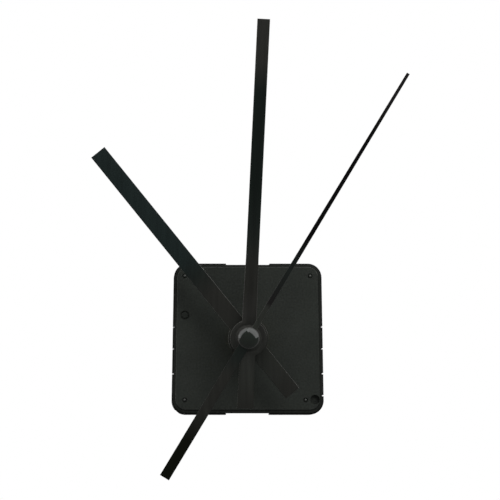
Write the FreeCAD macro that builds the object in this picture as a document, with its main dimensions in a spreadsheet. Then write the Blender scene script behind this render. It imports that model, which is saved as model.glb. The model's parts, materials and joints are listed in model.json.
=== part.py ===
import FreeCAD, Part
import math
import os
import re
import Sketcher

# A quartz clock movement with its three hands.
# Frame: +Z is twelve o'clock, the hand shaft runs along -Y out of the dial, +X is to the right of
# someone who reads the clock. The origin is on the shaft, in the plane of the dial face of the case.
# Each piece is drawn facing its reader: across is to the right, up is to twelve o'clock, and depth
# grows from the dial face towards the back cover, so what stands in front of the dial has less than none.

# Driving sizes in millimetres, counts and degrees.
SIZES = {
    # case
    "case_height": 56.0,
    "case_top_width": 54.6,
    "case_bottom_width": 56.5,
    "case_depth": 16.0,
    "corner_radius": 5.2,
    "edge_round": 0.9,
    "plate_step": 0.25,
    "plate_inset": 1.3,
    "plate_low_inset": 1.7,
    "plate_bevel": 0.1,
    "side_wall": 1.3,
    "front_wall": 1.6,
    "grip_width": 16.2,
    "grip_depth": 0.5,
    "groove_width": 0.5,
    "groove_depth": 0.6,
    "dimple_radius": 0.9,
    "dimple_depth": 0.4,
    "dimple_left": 23.4,
    "dimple_right": 23.1,
    "dimple_low_right": 21.4,
    "dimple_up": 23.4,
    "dimple_low": 22.6,
    "witness_radius": 1.7,
    "witness_depth": 0.35,
    "witness_across": -23.3,
    "witness_up": 8.8,
    "side_mark_up": -21.2,
    "vent_radius": 1.75,
    "vent_depth": 1.0,
    "vent_across": 24.9,
    "vent_up": -22.4,
    "washer_seat_depth": 0.4,
    # battery bay
    "cell_diameter": 14.5,
    "cell_length": 50.5,
    "cell_clearance": 0.1,
    "cell_sink": 0.05,
    "contact_room": 3.1,
    "bay_wall": 0.75,
    "bay_divider": 1.2,
    "thumb_window_depth": 10.4,
    # back cover
    "cut_overrun": 1.0,
    "cover_thickness": 1.6,
    "cover_gap": 0.1,
    "rim_width": 0.9,
    "rim_height": 1.1,
    "latch_width": 7.6,
    "latch_up": 0.5,
    "latch_thickness": 0.7,
    "latch_reach": 9.0,
    "latch_window_width": 3.2,
    "latch_window_height": 2.4,
    "latch_window_inset": 1.3,
    "latch_backing": 0.7,
    "rear_bevel": 0.4,
    "keyhole_up": 17.6,
    "keyhole_radius": 3.0,
    "keyhole_slot_width": 3.0,
    "keyhole_slot_length": 6.0,
    # centre bush, washer and nut
    "bush_radius": 4.0,
    "bush_reach": 6.3,
    "bush_tip_bevel": 0.4,
    "flange_radius": 6.0,
    "flange_thickness": 0.9,
    "washer_radius": 7.0,
    "washer_thickness": 0.5,
    "nut_across_flats": 12.0,
    "nut_thickness": 2.2,
    "screw_fit": 0.03,
    "seat_clearance": 0.2,
    # clearances of the train
    "running_clearance": 0.06,
    "layer_gap": 0.3,
    "press_fit_gap": 0.02,
    # wheels
    "wheel_thickness": 0.8,
    "web_thickness": 0.5,
    "wheel_rim": 0.9,
    "leaf_overhang": 0.1,
    "end_play": 0.1,
    "centre_teeth": 60,
    "third_teeth": 64,
    "seconds_teeth": 40,
    "intermediate_teeth": 48,
    "motion_teeth": 45,
    "hour_teeth": 48,
    "leaf_count": 8,
    "minute_leaves": 15,
    "motion_leaves": 12,
    "set_leaves": 15,
    "third_distance": 10.8,
    "third_rise": 15,
    "intermediate_distance": 8.64,
    "intermediate_direction": 60,
    "rotor_distance": 7.84,
    "rotor_direction": 40,
    "motion_distance": 9.0,
    "motion_direction": -10,
    "set_distance": 9.0,
    "set_direction": -15,
    # arbors and pipes
    "arbor_radius": 0.5,
    "pivot_radius": 0.3,
    "pivot_length": 0.7,
    "shaft_radius": 0.7,
    "hour_pipe_radius": 2.6,
    "hour_seat_radius": 2.5,
    "minute_pipe_radius": 1.85,
    "minute_seat_radius": 1.6,
    "clutch_radius": 1.5,
    "clutch_shoulder_radius": 2.6,
    "clutch_shoulder": 0.4,
    "spring_height": 0.45,
    "spring_leaf": 0.15,
    "collar_radius": 2.4,
    "collar_height": 0.35,
    "stud_radius": 0.9,
    "sleeve_wall": 0.6,
    # plates
    "bridge_thickness": 0.8,
    "bridge_margin": 1.7,
    "pillar_radius": 1.3,
    "pillar_pin_radius": 0.6,
    "pillar_pin_length": 1.0,
    "left_foot_across": -9.5,
    "right_foot_across": 13.5,
    "foot_up": -9.5,
    "left_head_across": -6.5,
    "left_head_up": 14.0,
    "right_head_across": 17.5,
    "right_head_up": 5.5,
    "third_passage": 1.9,
    # motor and circuit
    "rotor_magnet_radius": 1.9,
    "rotor_magnet_height": 1.6,
    "air_gap": 0.4,
    "stator_bulge": 4.0,
    "stator_bar": 4.0,
    "iron_thickness": 0.8,
    "motor_span": 24.0,
    "coil_up": 21.5,
    "core_width": 3.2,
    "tube_wall": 0.4,
    "bobbin_flange": 3.9,
    "bobbin_flange_thickness": 0.8,
    "bobbin_length": 18.4,
    "winding_radius": 3.4,
    "screw_radius": 0.8,
    "screw_head_radius": 1.5,
    "screw_head_height": 0.8,
    "screw_depth": 3.0,
    "board_thickness": 0.8,
    "board_width": 16.6,
    "board_height": 10.2,
    "board_gap": 0.5,
    "board_post_radius": 1.2,
    "board_post_inset": 3.0,
    "motor_post_radius": 1.8,
    "stator_notch": 0.4,
    "notch_direction": 45,
    "chip_radius": 2.8,
    "chip_height": 1.1,
    "chip_crown_radius": 1.95,
    "chip_crown_height": 0.8,
    "chip_up": 3.4,
    "crystal_radius": 1.0,
    "crystal_length": 6.0,
    "crystal_down": 2.0,
    "strip_thickness": 0.3,
    "strip_height": 3.2,
    "strip_gap": 0.2,
    "strip_left": 22.45,
    "spring_left": 25.35,
    "spring_bow": 1.9,
    "spring_flat": 4.2,
    "spring_rise": 3.4,
    "strip_reach": 6.0,
    # setting
    "stem_radius": 1.0,
    "knob_radius": 4.5,
    "knob_flange_radius": 5.3,
    "knob_flange_height": 0.6,
    "knob_recess": 0.35,
    "knob_dish_radius": 3.15,
    "knurl_count": 24,
    "knurl_depth": 0.35,
    "knurl_half_width": 0.7,
    # hands
    "blade_thickness": 0.4,
    "blade_bevel": 0.1,
    "hand_gap": 0.25,
    "pipe_end": 0.2,
    "hour_tip": 88.4,
    "hour_tail": 26.0,
    "hour_width": 6.3,
    "hour_hub_radius": 7.4,
    "hour_spigot_radius": 3.1,
    "hour_collar_radius": 3.6,
    "hour_collar_height": 1.0,
    "hour_turn": 38.97,
    "minute_tip": 118.2,
    "minute_tail": 25.9,
    "minute_width": 4.7,
    "minute_root_width": 5.4,
    "minute_root": 30.0,
    "minute_tail_width": 6.1,
    "minute_hub_radius": 6.75,
    "minute_ring_radius": 5.3,
    "minute_ring_width": 0.7,
    "minute_ring_depth": 0.08,
    "minute_spigot_radius": 2.2,
    "minute_collar_radius": 2.8,
    "minute_collar_height": 1.4,
    "minute_turn": -2.74,
    "second_tip": 114.2,
    "second_tail": 59.9,
    "second_tip_width": 1.2,
    "second_root_width": 1.95,
    "second_tail_width": 3.85,
    "second_hub_radius": 3.3,
    "second_tube_radius": 0.9,
    "second_tube_length": 1.2,
    "second_turn": -31.1,
    "cap_radius": 4.0,
    "cap_height": 1.8,
    "cap_round": 1.45,
    "rivet": 0.15,
}

# Tooth proportions as shares of the tooth pitch and of the module, chosen by eye for a clock train.
WHEEL_ROOT_SHARE = 0.50
WHEEL_PITCH_SHARE = 0.46
WHEEL_TIP_SHARE = 0.14
LEAF_ROOT_SHARE = 0.38
LEAF_PITCH_SHARE = 0.44
LEAF_TIP_SHARE = 0.20
WHEEL_ADDENDUM_SHARE = 1.1
WHEEL_DEDENDUM_SHARE = 1.3
LEAF_ADDENDUM_SHARE = 1.0
LEAF_DEDENDUM_SHARE = 1.35
SAME_SHARE = 1e-5
ALONG_SHARE = 0.99

document = FreeCAD.newDocument("quartz_clock_movement")
sheet = document.addObject("Spreadsheet::Sheet", "Sizes")
for row, (alias, number) in enumerate(SIZES.items(), start=1):
    sheet.set(f"A{row}", alias)
    sheet.set(f"B{row}", str(number))
    sheet.setAlias(f"B{row}", alias)
document.recompute()

FACING_READER = FreeCAD.Rotation(FreeCAD.Vector(1, 0, 0), 90)
SUBPARTS = []
WORD = re.compile(r"[a-z_]+")


def sized(text):
    """Point the size names of an expression at the sheet."""
    return WORD.sub(lambda word: "Sizes." + word.group() if word.group() in SIZES else word.group(), text)


def away(distance, direction, start=("0", "0")):
    """A place at a distance and direction from another, both as expressions."""
    return (f"({start[0]} + {distance} * cos({direction}))", f"({start[1]} + {distance} * sin({direction}))")


# Outlines and levels that several pieces share.
HALF_HEIGHT = "(case_height / 2)"
SEAM = "(case_depth - cover_thickness)"
BAY_RADIUS = "(cell_diameter / 2 + cell_clearance)"
BAY_UP = f"(-{HALF_HEIGHT} + bay_wall + {BAY_RADIUS})"
BAY_DEPTH = "(case_depth - cell_sink - cell_diameter / 2)"
BAY_TOP = f"({BAY_UP} + {BAY_RADIUS})"
BAY_LENGTH = "(cell_length + contact_room)"
DIVIDER_TOP = f"({BAY_TOP} + bay_divider)"
ROOM_TOP = f"({HALF_HEIGHT} - side_wall)"
LATCH_LOW = "(latch_up - latch_width / 2 - groove_width)"
LATCH_HIGH = "(latch_up + latch_width / 2 + groove_width)"

FLANGE_BACK = "(front_wall + flange_thickness)"
HOUR_FRONT = f"({FLANGE_BACK} + layer_gap)"
HOUR_BACK = f"({HOUR_FRONT} + wheel_thickness)"
MOTION_FRONT = f"({HOUR_BACK} + layer_gap)"
MOTION_BACK = f"({MOTION_FRONT} + wheel_thickness)"
SHOULDER_FRONT = f"({MOTION_BACK} + layer_gap / 2)"
SHOULDER_BACK = f"({SHOULDER_FRONT} + clutch_shoulder)"
CENTRE_FRONT = f"({SHOULDER_BACK} + running_clearance)"
CENTRE_BACK = f"({CENTRE_FRONT} + wheel_thickness)"
SPRING_FRONT = f"({CENTRE_BACK} + running_clearance)"
SPRING_BACK = f"({SPRING_FRONT} + spring_height)"
COLLAR_BACK = f"({SPRING_BACK} + collar_height)"
BRIDGE_FRONT = f"({COLLAR_BACK} + layer_gap)"
BRIDGE_BACK = f"({BRIDGE_FRONT} + bridge_thickness)"
THIRD_FRONT = f"({BRIDGE_BACK} + layer_gap)"
THIRD_BACK = f"({THIRD_FRONT} + wheel_thickness)"
SECONDS_FRONT = f"({THIRD_BACK} + 2 * layer_gap)"
SECONDS_BACK = f"({SECONDS_FRONT} + wheel_thickness)"
INTERMEDIATE_FRONT = f"({SECONDS_BACK} + layer_gap)"
INTERMEDIATE_BACK = f"({INTERMEDIATE_FRONT} + wheel_thickness)"
REAR_FRONT = f"({INTERMEDIATE_BACK} + layer_gap)"
CORE_FRONT = f"({BRIDGE_BACK} + layer_gap)"
CORE_BACK = f"({CORE_FRONT} + iron_thickness)"
STATOR_BACK = f"({CORE_BACK} + iron_thickness)"
CORE_MIDDLE = f"({CORE_FRONT} + iron_thickness / 2)"
STATOR_MIDDLE = f"({CORE_BACK} + iron_thickness / 2)"
BOARD_FRONT = f"({BRIDGE_BACK} + board_thickness)"
BOARD_BACK = f"({BOARD_FRONT} + board_thickness)"

# The hands stand in front of the dial, so their depths are below zero.
HOUR_COLLAR_BACK = "(-bush_reach - hand_gap)"
HOUR_BLADE_BACK = f"({HOUR_COLLAR_BACK} - hour_collar_height)"
HOUR_BLADE_FRONT = f"({HOUR_BLADE_BACK} - blade_thickness)"
HOUR_PIPE_END = f"({HOUR_BLADE_FRONT} - rivet - pipe_end)"
MINUTE_COLLAR_BACK = f"({HOUR_PIPE_END} - hand_gap)"
MINUTE_BLADE_BACK = f"({MINUTE_COLLAR_BACK} - minute_collar_height)"
MINUTE_BLADE_FRONT = f"({MINUTE_BLADE_BACK} - blade_thickness)"
MINUTE_PIPE_END = f"({MINUTE_BLADE_FRONT} - rivet - pipe_end)"
SECOND_TUBE_BACK = f"({MINUTE_PIPE_END} - hand_gap)"
SECOND_BLADE_BACK = f"({SECOND_TUBE_BACK} - second_tube_length)"
SECOND_BLADE_FRONT = f"({SECOND_BLADE_BACK} - blade_thickness)"
CAP_FRONT = f"({SECOND_BLADE_FRONT} - cap_height)"
SECOND_TUBE_FRONT = f"({SECOND_BLADE_FRONT} - cap_height / 2)"

# Places of the axes that stand beside the hand shaft.
CENTRE = ("0", "0")
THIRD_DIRECTION = "(180 - third_rise)"
THIRD = away("third_distance", THIRD_DIRECTION)
INTERMEDIATE = away("intermediate_distance", "intermediate_direction")
ROTOR = away("rotor_distance", "rotor_direction", INTERMEDIATE)
MOTION = away("motion_distance", "motion_direction")
SETTING = away("set_distance", "set_direction", MOTION)
PILLARS = (
    ("left_foot_across", "foot_up"),
    ("right_foot_across", "foot_up"),
    ("right_head_across", "right_head_up"),
    ("left_head_across", "left_head_up"),
)
LEFT_SCREW = (f"({ROTOR[0]} - motor_span / 2)", "coil_up")
RIGHT_SCREW = (f"({ROTOR[0]} + motor_span / 2)", "coil_up")
BOARD_LEFT = "(-case_top_width / 2 + side_wall + board_gap)"
BOARD_RIGHT = f"({BOARD_LEFT} + board_width)"
BOARD_TOP = f"({ROOM_TOP} - board_gap)"
BOARD_LOW = f"({BOARD_TOP} - board_height)"
BOARD_POSTS = (
    (f"({BOARD_LEFT} + board_post_inset)", f"({BOARD_TOP} - board_post_inset)"),
    (f"({BOARD_RIGHT} - board_post_inset)", f"({BOARD_TOP} - board_post_inset)"),
    (f"({BOARD_RIGHT} - board_post_inset)", f"({BOARD_LOW} + board_post_inset)"),
)
DIMPLES = (
    ("-dimple_left", "dimple_up"), ("dimple_right", "dimple_up"),
    ("-dimple_left", "-dimple_low"), ("dimple_low_right", "-dimple_low"),
)
STRIP_FRONT = f"({BRIDGE_BACK} + strip_gap)"
LATCH_WINDOW_FRONT = "(case_depth - latch_reach + latch_window_inset)"
KNOB_BACK = f"({SEAM} - strip_gap)"
KNOB_FRONT = f"({KNOB_BACK} - knob_flange_height)"


def module_of(distance, large, small):
    """The tooth module of a pair, as an expression."""
    return f"(2 * {distance} / ({large} + {small}))"


MODULES = {
    "centre": module_of("third_distance", "centre_teeth", "leaf_count"),
    "third": module_of("third_distance", "third_teeth", "leaf_count"),
    "seconds": module_of("intermediate_distance", "seconds_teeth", "leaf_count"),
    "intermediate": module_of("rotor_distance", "intermediate_teeth", "leaf_count"),
    "motion": module_of("motion_distance", "motion_teeth", "minute_leaves"),
    "hour": module_of("motion_distance", "hour_teeth", "motion_leaves"),
    "setting": module_of("set_distance", "motion_teeth", "set_leaves"),
}


def half_width(up):
    """Half the width of the case at a height, since the case widens a little downwards."""
    fall = f"({HALF_HEIGHT} - ({up})) / case_height"
    return f"(case_top_width / 2 + (case_bottom_width - case_top_width) / 2 * {fall})"


def origin_feature(body, role):
    """One of the body's own planes or axes."""
    return next(feature for feature in body.Origin.OriginFeatures if feature.Role == role)


def new_body(name, place=CENTRE, depth="0", turn=0.0):
    """A body that faces the reader, at a place and depth of the movement, turned about the shaft."""
    body = document.addObject("PartDesign::Body", name)
    body.Label = name
    spin = FreeCAD.Rotation(FreeCAD.Vector(0, 0, 1), turn)
    body.Placement = FreeCAD.Placement(FreeCAD.Vector(0, 0, 0), FACING_READER.multiply(spin))
    body.setExpression("Placement.Base.x", sized(place[0]))
    body.setExpression("Placement.Base.y", sized(depth))
    body.setExpression("Placement.Base.z", sized(place[1]))
    SUBPARTS.append(body)
    return body


def sketch_on(body, depth="0", role="XY_Plane"):
    """An empty sketch on a plane of the body; on the facing plane it lies at a depth."""
    sketch = body.newObject("Sketcher::SketchObject", "Sketch")
    sketch.AttachmentSupport = [(origin_feature(body, role), "")]
    sketch.MapMode = "FlatFace"
    if role == "XY_Plane":
        sketch.setExpression("AttachmentOffset.Base.z", sized(f"-({depth})"))
    return sketch


def pin_point(sketch, geometry, point, across, up):
    """Hold a point of the sketch at a place given by two expressions."""
    for kind, text in (("DistanceX", across), ("DistanceY", up)):
        index = sketch.addConstraint(Sketcher.Constraint(kind, -1, 1, geometry, point, 1.0))
        sketch.setExpression(f"Constraints[{index}]", sized(text))


def add_polygon(sketch, corners):
    """A closed outline of straight edges through corners given by expressions."""
    first = sketch.GeometryCount
    count = len(corners)
    turns = [2 * math.pi * index / count for index in range(count)]
    starts = [FreeCAD.Vector(math.cos(turn), math.sin(turn), 0) for turn in turns]
    ends = starts[1:] + starts[:1]
    sketch.addGeometry([Part.LineSegment(start, end) for start, end in zip(starts, ends)], False)
    joins = [(first + index, first + (index + 1) % count) for index in range(count)]
    sketch.addConstraint([Sketcher.Constraint("Coincident", this, 2, after, 1) for this, after in joins])
    for index, (across, up) in enumerate(corners):
        pin_point(sketch, first + index, 1, across, up)


def add_circle(sketch, radius, place=CENTRE):
    """A circle of a radius and place given by expressions."""
    circle = Part.Circle(FreeCAD.Vector(0, 0, 0), FreeCAD.Vector(0, 0, 1), 1)
    geometry = sketch.addGeometry(circle, False)
    index = sketch.addConstraint(Sketcher.Constraint("Radius", geometry, 1.0))
    sketch.setExpression(f"Constraints[{index}]", sized(radius))
    pin_point(sketch, geometry, 3, *place)


def rectangle(left, right, low, high):
    """The four corners of an upright rectangle."""
    return ((left, low), (right, low), (right, high), (left, high))


def extrude(body, kind, sketch, length, forwards, symmetric):
    """A pad or pocket along the shaft; it runs backwards from the sketch unless told otherwise."""
    before = body.Shape.Volume if body.Tip else 0.0
    feature = body.newObject(kind, kind.split("::")[1])
    feature.Profile = sketch
    feature.setExpression("Length", sized(length))
    adds = kind == "PartDesign::Pad"
    if symmetric:
        feature.SideType = "Symmetric"
    else:
        feature.Reversed = adds != forwards
    body.Tip = feature
    document.recompute()
    change = body.Shape.Volume - before
    if (change > 0) != adds or not change:
        raise RuntimeError(f"{body.Label}: {feature.Name} changes nothing, {feature.getStatusString()}")
    return feature


def pad(body, sketch, length, forwards=False, symmetric=False):
    """Add the sketch's area over a length."""
    return extrude(body, "PartDesign::Pad", sketch, length, forwards, symmetric)


def pocket(body, sketch, length, forwards=False, symmetric=False):
    """Cut the sketch's area over a length."""
    return extrude(body, "PartDesign::Pocket", sketch, length, forwards, symmetric)


def turned(body, profile, lying=False):
    """Turn radius and depth pairs about the shaft, or across and radius pairs about a line across."""
    if lying:
        sketch = sketch_on(body)
        add_polygon(sketch, profile)
    else:
        sketch = sketch_on(body, role="XZ_Plane")
        add_polygon(sketch, [(radius, f"-({depth})") for radius, depth in profile])
    feature = body.newObject("PartDesign::Revolution", "Revolution")
    feature.Profile = sketch
    feature.ReferenceAxis = (sketch, ["H_Axis" if lying else "V_Axis"])
    feature.Angle = 360
    body.Tip = feature
    document.recompute()
    return feature


def tube_profile(inner, outer, front, back):
    """The profile of a plain tube or washer."""
    return ((inner, front), (outer, front), (outer, back), (inner, back))


def dress_edges(body, kind, size, wanted):
    """Round or bevel the edges of the body that the test picks."""
    base = body.Tip
    names = [f"Edge{index}" for index, edge in enumerate(base.Shape.Edges, start=1) if wanted(edge)]
    feature = body.newObject(kind, kind.split("::")[1])
    feature.Base = (base, names)
    feature.setExpression("Radius" if kind == "PartDesign::Fillet" else "Size", sized(size))
    body.Tip = feature
    document.recompute()
    return feature


def round_edges(body, radius, wanted):
    """Round the picked edges."""
    return dress_edges(body, "PartDesign::Fillet", radius, wanted)


def bevel_edges(body, size, wanted):
    """Bevel the picked edges."""
    return dress_edges(body, "PartDesign::Chamfer", size, wanted)


def along_shaft(edge):
    """Whether a straight edge runs along the shaft."""
    run = edge.Vertexes[-1].Point - edge.Vertexes[0].Point
    return run.Length > 0 and abs(run.z) > ALONG_SHARE * run.Length


def polar(body, feature, count):
    """Repeat a feature round the body's own axis."""
    pattern = body.newObject("PartDesign::PolarPattern", "PolarPattern")
    pattern.Originals = [feature]
    pattern.Axis = (origin_feature(body, "Z_Axis"), [""])
    pattern.Angle = 360
    pattern.setExpression("Occurrences", sized(count))
    body.Tip = pattern
    document.recompute()
    return pattern


def facing_phase(direction, teeth):
    """The phase that puts a gap of a wheel against the leaf that points at it."""
    return f"({direction} + 180 + 180 / {teeth})"


def add_teeth(body, module, count, front, thickness, phase, leaves=False):
    """Straight-flanked teeth with a bend at the pitch circle, repeated round the blank."""
    pitch_radius = f"{module} * {count} / 2"
    if leaves:
        shares = (LEAF_ROOT_SHARE, LEAF_PITCH_SHARE, LEAF_TIP_SHARE)
        addendum, dedendum = LEAF_ADDENDUM_SHARE, LEAF_DEDENDUM_SHARE
    else:
        shares = (WHEEL_ROOT_SHARE, WHEEL_PITCH_SHARE, WHEEL_TIP_SHARE)
        addendum, dedendum = WHEEL_ADDENDUM_SHARE, WHEEL_DEDENDUM_SHARE
    root_radius = f"({pitch_radius} - {dedendum} * {module})"
    sunk_radius = f"({root_radius} - running_clearance)"
    tip_radius = f"({pitch_radius} + {addendum} * {module})"
    rings = list(zip((sunk_radius, f"({pitch_radius})", tip_radius), shares))
    right = [(radius, f"({phase} - {share} * 180 / {count})") for radius, share in rings]
    left = [(radius, f"({phase} + {share} * 180 / {count})") for radius, share in reversed(rings)]
    sketch = sketch_on(body, front)
    corners = [(f"{radius} * cos{angle}", f"{radius} * sin{angle}") for radius, angle in right + left]
    add_polygon(sketch, corners)
    tooth = pad(body, sketch, thickness)
    polar(body, tooth, count)


def root_of(module, count, leaves=False):
    """The radius at the bottom of the teeth."""
    dedendum = LEAF_DEDENDUM_SHARE if leaves else WHEEL_DEDENDUM_SHARE
    return f"({module} * {count} / 2 - {dedendum} * {module})"


def wheel_profile(bore, hub, rim, front, back, hub_front):
    """A wheel with a full rim, a thin web along its back face and a hub that stands out in front."""
    inner_rim = f"({rim} - wheel_rim)"
    web_front = f"({back} - web_thickness)"
    return (
        (bore, hub_front), (hub, hub_front), (hub, web_front), (inner_rim, web_front), (inner_rim, front),
        (rim, front), (rim, back), (bore, back),
    )


def near(first, second):
    """Whether two lengths agree to a small share of the case's height."""
    return abs(first - second) < SIZES["case_height"] * SAME_SHARE


def side_box(side, up_low, up_high, inset):
    """A box that reaches in from one side of the case by an inset, past the outside."""
    return (
        (f"{side} * ({half_width(up_low)} - {inset})", up_low),
        (f"{side} * ({half_width(up_low)} + cut_overrun)", up_low),
        (f"{side} * ({half_width(up_high)} + cut_overrun)", up_high),
        (f"{side} * ({half_width(up_high)} - {inset})", up_high),
    )


def cut_grip(body, length, side):
    """The shallow finger recess in the middle of the top or bottom edge."""
    sketch = sketch_on(body)
    near_edge = f"{side} * ({HALF_HEIGHT} - grip_depth)"
    far_edge = f"{side} * ({HALF_HEIGHT} + cut_overrun)"
    add_polygon(sketch, rectangle("-grip_width / 2", "grip_width / 2", near_edge, far_edge))
    pocket(body, sketch, length)


def cut_latch_grooves(body, depth, length):
    """The narrow grooves above and below each latch."""
    sketch = sketch_on(body, depth)
    for side in ("1", "-1"):
        for low in (LATCH_LOW, f"({LATCH_HIGH} - groove_width)"):
            add_polygon(sketch, side_box(side, low, f"({low} + groove_width)", "groove_depth"))
    pocket(body, sketch, length)


def make_front_case():
    """The dial-side half: front plate, walls, battery bay and the posts that carry the works."""
    body = new_body("front_case")
    half_height = SIZES["case_height"] / 2
    outline = sketch_on(body, "plate_step")
    add_polygon(outline, (
        ("-case_bottom_width / 2", f"-{HALF_HEIGHT}"), ("case_bottom_width / 2", f"-{HALF_HEIGHT}"),
        ("case_top_width / 2", HALF_HEIGHT), ("-case_top_width / 2", HALF_HEIGHT),
    ))
    pad(body, outline, f"{SEAM} - plate_step")
    plate = sketch_on(body)
    plate_low, plate_high = f"(-{HALF_HEIGHT} + plate_low_inset)", f"({HALF_HEIGHT} - plate_inset)"
    low_half = f"({half_width(plate_low)} - plate_inset)"
    high_half = f"({half_width(plate_high)} - plate_inset)"
    add_polygon(plate, (
        (f"-{low_half}", plate_low), (low_half, plate_low),
        (high_half, plate_high), (f"-{high_half}", plate_high),
    ))
    pad(body, plate, "plate_step")
    round_edges(body, "corner_radius - plate_inset", lambda edge: along_shaft(edge) and near(
        edge.BoundBox.ZMax, 0))
    bay_block = sketch_on(body, SEAM)
    shoulder = half_width(DIVIDER_TOP)
    add_polygon(bay_block, (
        ("-case_bottom_width / 2", f"-{HALF_HEIGHT}"), ("case_bottom_width / 2", f"-{HALF_HEIGHT}"),
        (shoulder, DIVIDER_TOP), (f"-{shoulder}", DIVIDER_TOP),
    ))
    pad(body, bay_block, "cover_thickness")
    room = sketch_on(body, "front_wall")
    low_half = f"({half_width(DIVIDER_TOP)} - side_wall)"
    high_half = f"({half_width(ROOM_TOP)} - side_wall)"
    add_polygon(room, (
        (f"-{low_half}", DIVIDER_TOP), (low_half, DIVIDER_TOP),
        (high_half, ROOM_TOP), (f"-{high_half}", ROOM_TOP),
    ))
    pocket(body, room, "case_depth")
    room_top = half_height - SIZES["side_wall"]
    round_edges(body, "corner_radius - side_wall", lambda edge: along_shaft(edge) and near(
        edge.CenterOfMass.y, room_top))
    round_edges(body, "corner_radius", lambda edge: along_shaft(edge) and near(
        abs(edge.CenterOfMass.y), half_height))
    step = -SIZES["plate_step"]
    shelf = next(face for face in body.Tip.Shape.Faces if near(face.BoundBox.ZMin, step) and near(
        face.BoundBox.ZMax, step))
    shelf_rim = shelf.OuterWire.Edges
    round_edges(body, "edge_round", lambda edge: any(edge.isSame(other) for other in shelf_rim))
    bevel_edges(body, "plate_bevel", lambda edge: near(edge.BoundBox.ZMin, 0))

    cradle = sketch_on(body, role="YZ_Plane")
    add_circle(cradle, BAY_RADIUS, (BAY_UP, f"-{BAY_DEPTH}"))
    pocket(body, cradle, BAY_LENGTH, symmetric=True)
    throat = sketch_on(body, role="YZ_Plane")
    add_polygon(throat, rectangle(
        f"{BAY_UP} - {BAY_RADIUS}", BAY_TOP, "-case_depth - cut_overrun", f"-{BAY_DEPTH}"))
    pocket(body, throat, BAY_LENGTH, symmetric=True)
    window = sketch_on(body, "case_depth - thumb_window_depth")
    add_polygon(window, rectangle(
        "-grip_width / 2", "grip_width / 2", f"-{HALF_HEIGHT} - cut_overrun", BAY_UP))
    pocket(body, window, "case_depth")
    slots = sketch_on(body, f"{STRIP_FRONT} - strip_gap")
    for side in ("1", "-1"):
        outer = f"{side} * {BAY_LENGTH} / 2"
        inner = f"{side} * ({BAY_LENGTH} / 2 - contact_room)"
        add_polygon(slots, rectangle(
            inner, outer, f"{BAY_TOP} - cut_overrun", f"{DIVIDER_TOP} + cut_overrun"))
    pocket(body, slots, "case_depth")

    for side in ("1", "-1"):
        cut_grip(body, "case_depth", side)
    backing = sketch_on(body, "front_wall")
    for side in ("1", "-1"):
        add_polygon(backing, (
            (f"{side} * ({half_width(LATCH_LOW)} - side_wall - latch_backing)", LATCH_LOW),
            (f"{side} * ({half_width(LATCH_LOW)} - side_wall / 2)", LATCH_LOW),
            (f"{side} * ({half_width(LATCH_HIGH)} - side_wall / 2)", LATCH_HIGH),
            (f"{side} * ({half_width(LATCH_HIGH)} - side_wall - latch_backing)", LATCH_HIGH),
        ))
    pad(body, backing, f"{SEAM} - front_wall - rim_height - end_play")
    recess = sketch_on(body, "case_depth - latch_reach - seat_clearance")
    for side in ("1", "-1"):
        add_polygon(recess, side_box(side, LATCH_LOW, LATCH_HIGH, "(latch_thickness + cover_gap)"))
    pocket(body, recess, "case_depth")
    lug_low = "(latch_up - latch_window_width / 2 + seat_clearance)"
    lug_high = "(latch_up + latch_window_width / 2 - seat_clearance)"
    lugs = sketch_on(body, f"{LATCH_WINDOW_FRONT} + seat_clearance")
    for side in ("1", "-1"):
        add_polygon(lugs, (
            (f"{side} * ({half_width(lug_low)} - side_wall)", lug_low),
            (f"{side} * ({half_width(lug_low)} - seat_clearance)", lug_low),
            (f"{side} * ({half_width(lug_high)} - seat_clearance)", lug_high),
            (f"{side} * ({half_width(lug_high)} - side_wall)", lug_high),
        ))
    pad(body, lugs, "latch_window_height - 2 * seat_clearance")
    cut_latch_grooves(body, "0", "case_depth")
    bay_grooves = sketch_on(body)
    for side in ("1", "-1"):
        add_polygon(bay_grooves, side_box(side, f"({BAY_TOP} - groove_width)", BAY_TOP, "groove_depth"))
    add_polygon(bay_grooves, side_box("1", "side_mark_up", "(side_mark_up + groove_width)", "groove_depth"))
    pocket(body, bay_grooves, "case_depth")

    posts = sketch_on(body, "front_wall")
    for place in PILLARS:
        add_circle(posts, "pillar_radius", place)
    pad(body, posts, f"{BRIDGE_FRONT} - front_wall")
    motor_posts = sketch_on(body, "front_wall")
    for place in (LEFT_SCREW, RIGHT_SCREW):
        add_circle(motor_posts, "motor_post_radius", place)
    pad(body, motor_posts, f"{CORE_FRONT} - front_wall")
    board_posts = sketch_on(body, "front_wall")
    for place in BOARD_POSTS:
        add_circle(board_posts, "board_post_radius", place)
    pad(body, board_posts, f"{BOARD_FRONT} - front_wall")
    third_post = sketch_on(body, "front_wall")
    add_circle(third_post, "arbor_radius + sleeve_wall", THIRD)
    pad(body, third_post, f"{MOTION_BACK} - front_wall")
    stem_boss = sketch_on(body, "front_wall")
    add_circle(stem_boss, "stem_radius + sleeve_wall", SETTING)
    pad(body, stem_boss, f"{HOUR_BACK} - front_wall")
    stud_boss = sketch_on(body, "front_wall")
    add_circle(stud_boss, "stud_radius + sleeve_wall", MOTION)
    pad(body, stud_boss, "flange_thickness")
    stud = sketch_on(body, FLANGE_BACK)
    add_circle(stud, "stud_radius", MOTION)
    pad(body, stud, f"{MOTION_BACK} + end_play - {FLANGE_BACK}")

    pin_depth = f"{BRIDGE_FRONT} - pillar_pin_length - end_play"
    drill(body, "pillar_pin_radius + screw_fit", PILLARS, pin_depth)
    screw_depth = f"{CORE_FRONT} - screw_depth - end_play"
    drill(body, "screw_radius + screw_fit", (LEFT_SCREW, RIGHT_SCREW), screw_depth)
    drill(body, "pivot_radius + running_clearance", (THIRD,), f"{MOTION_BACK} - pivot_length")
    drill(body, "stem_radius + running_clearance", (SETTING,), "front_wall")

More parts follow.
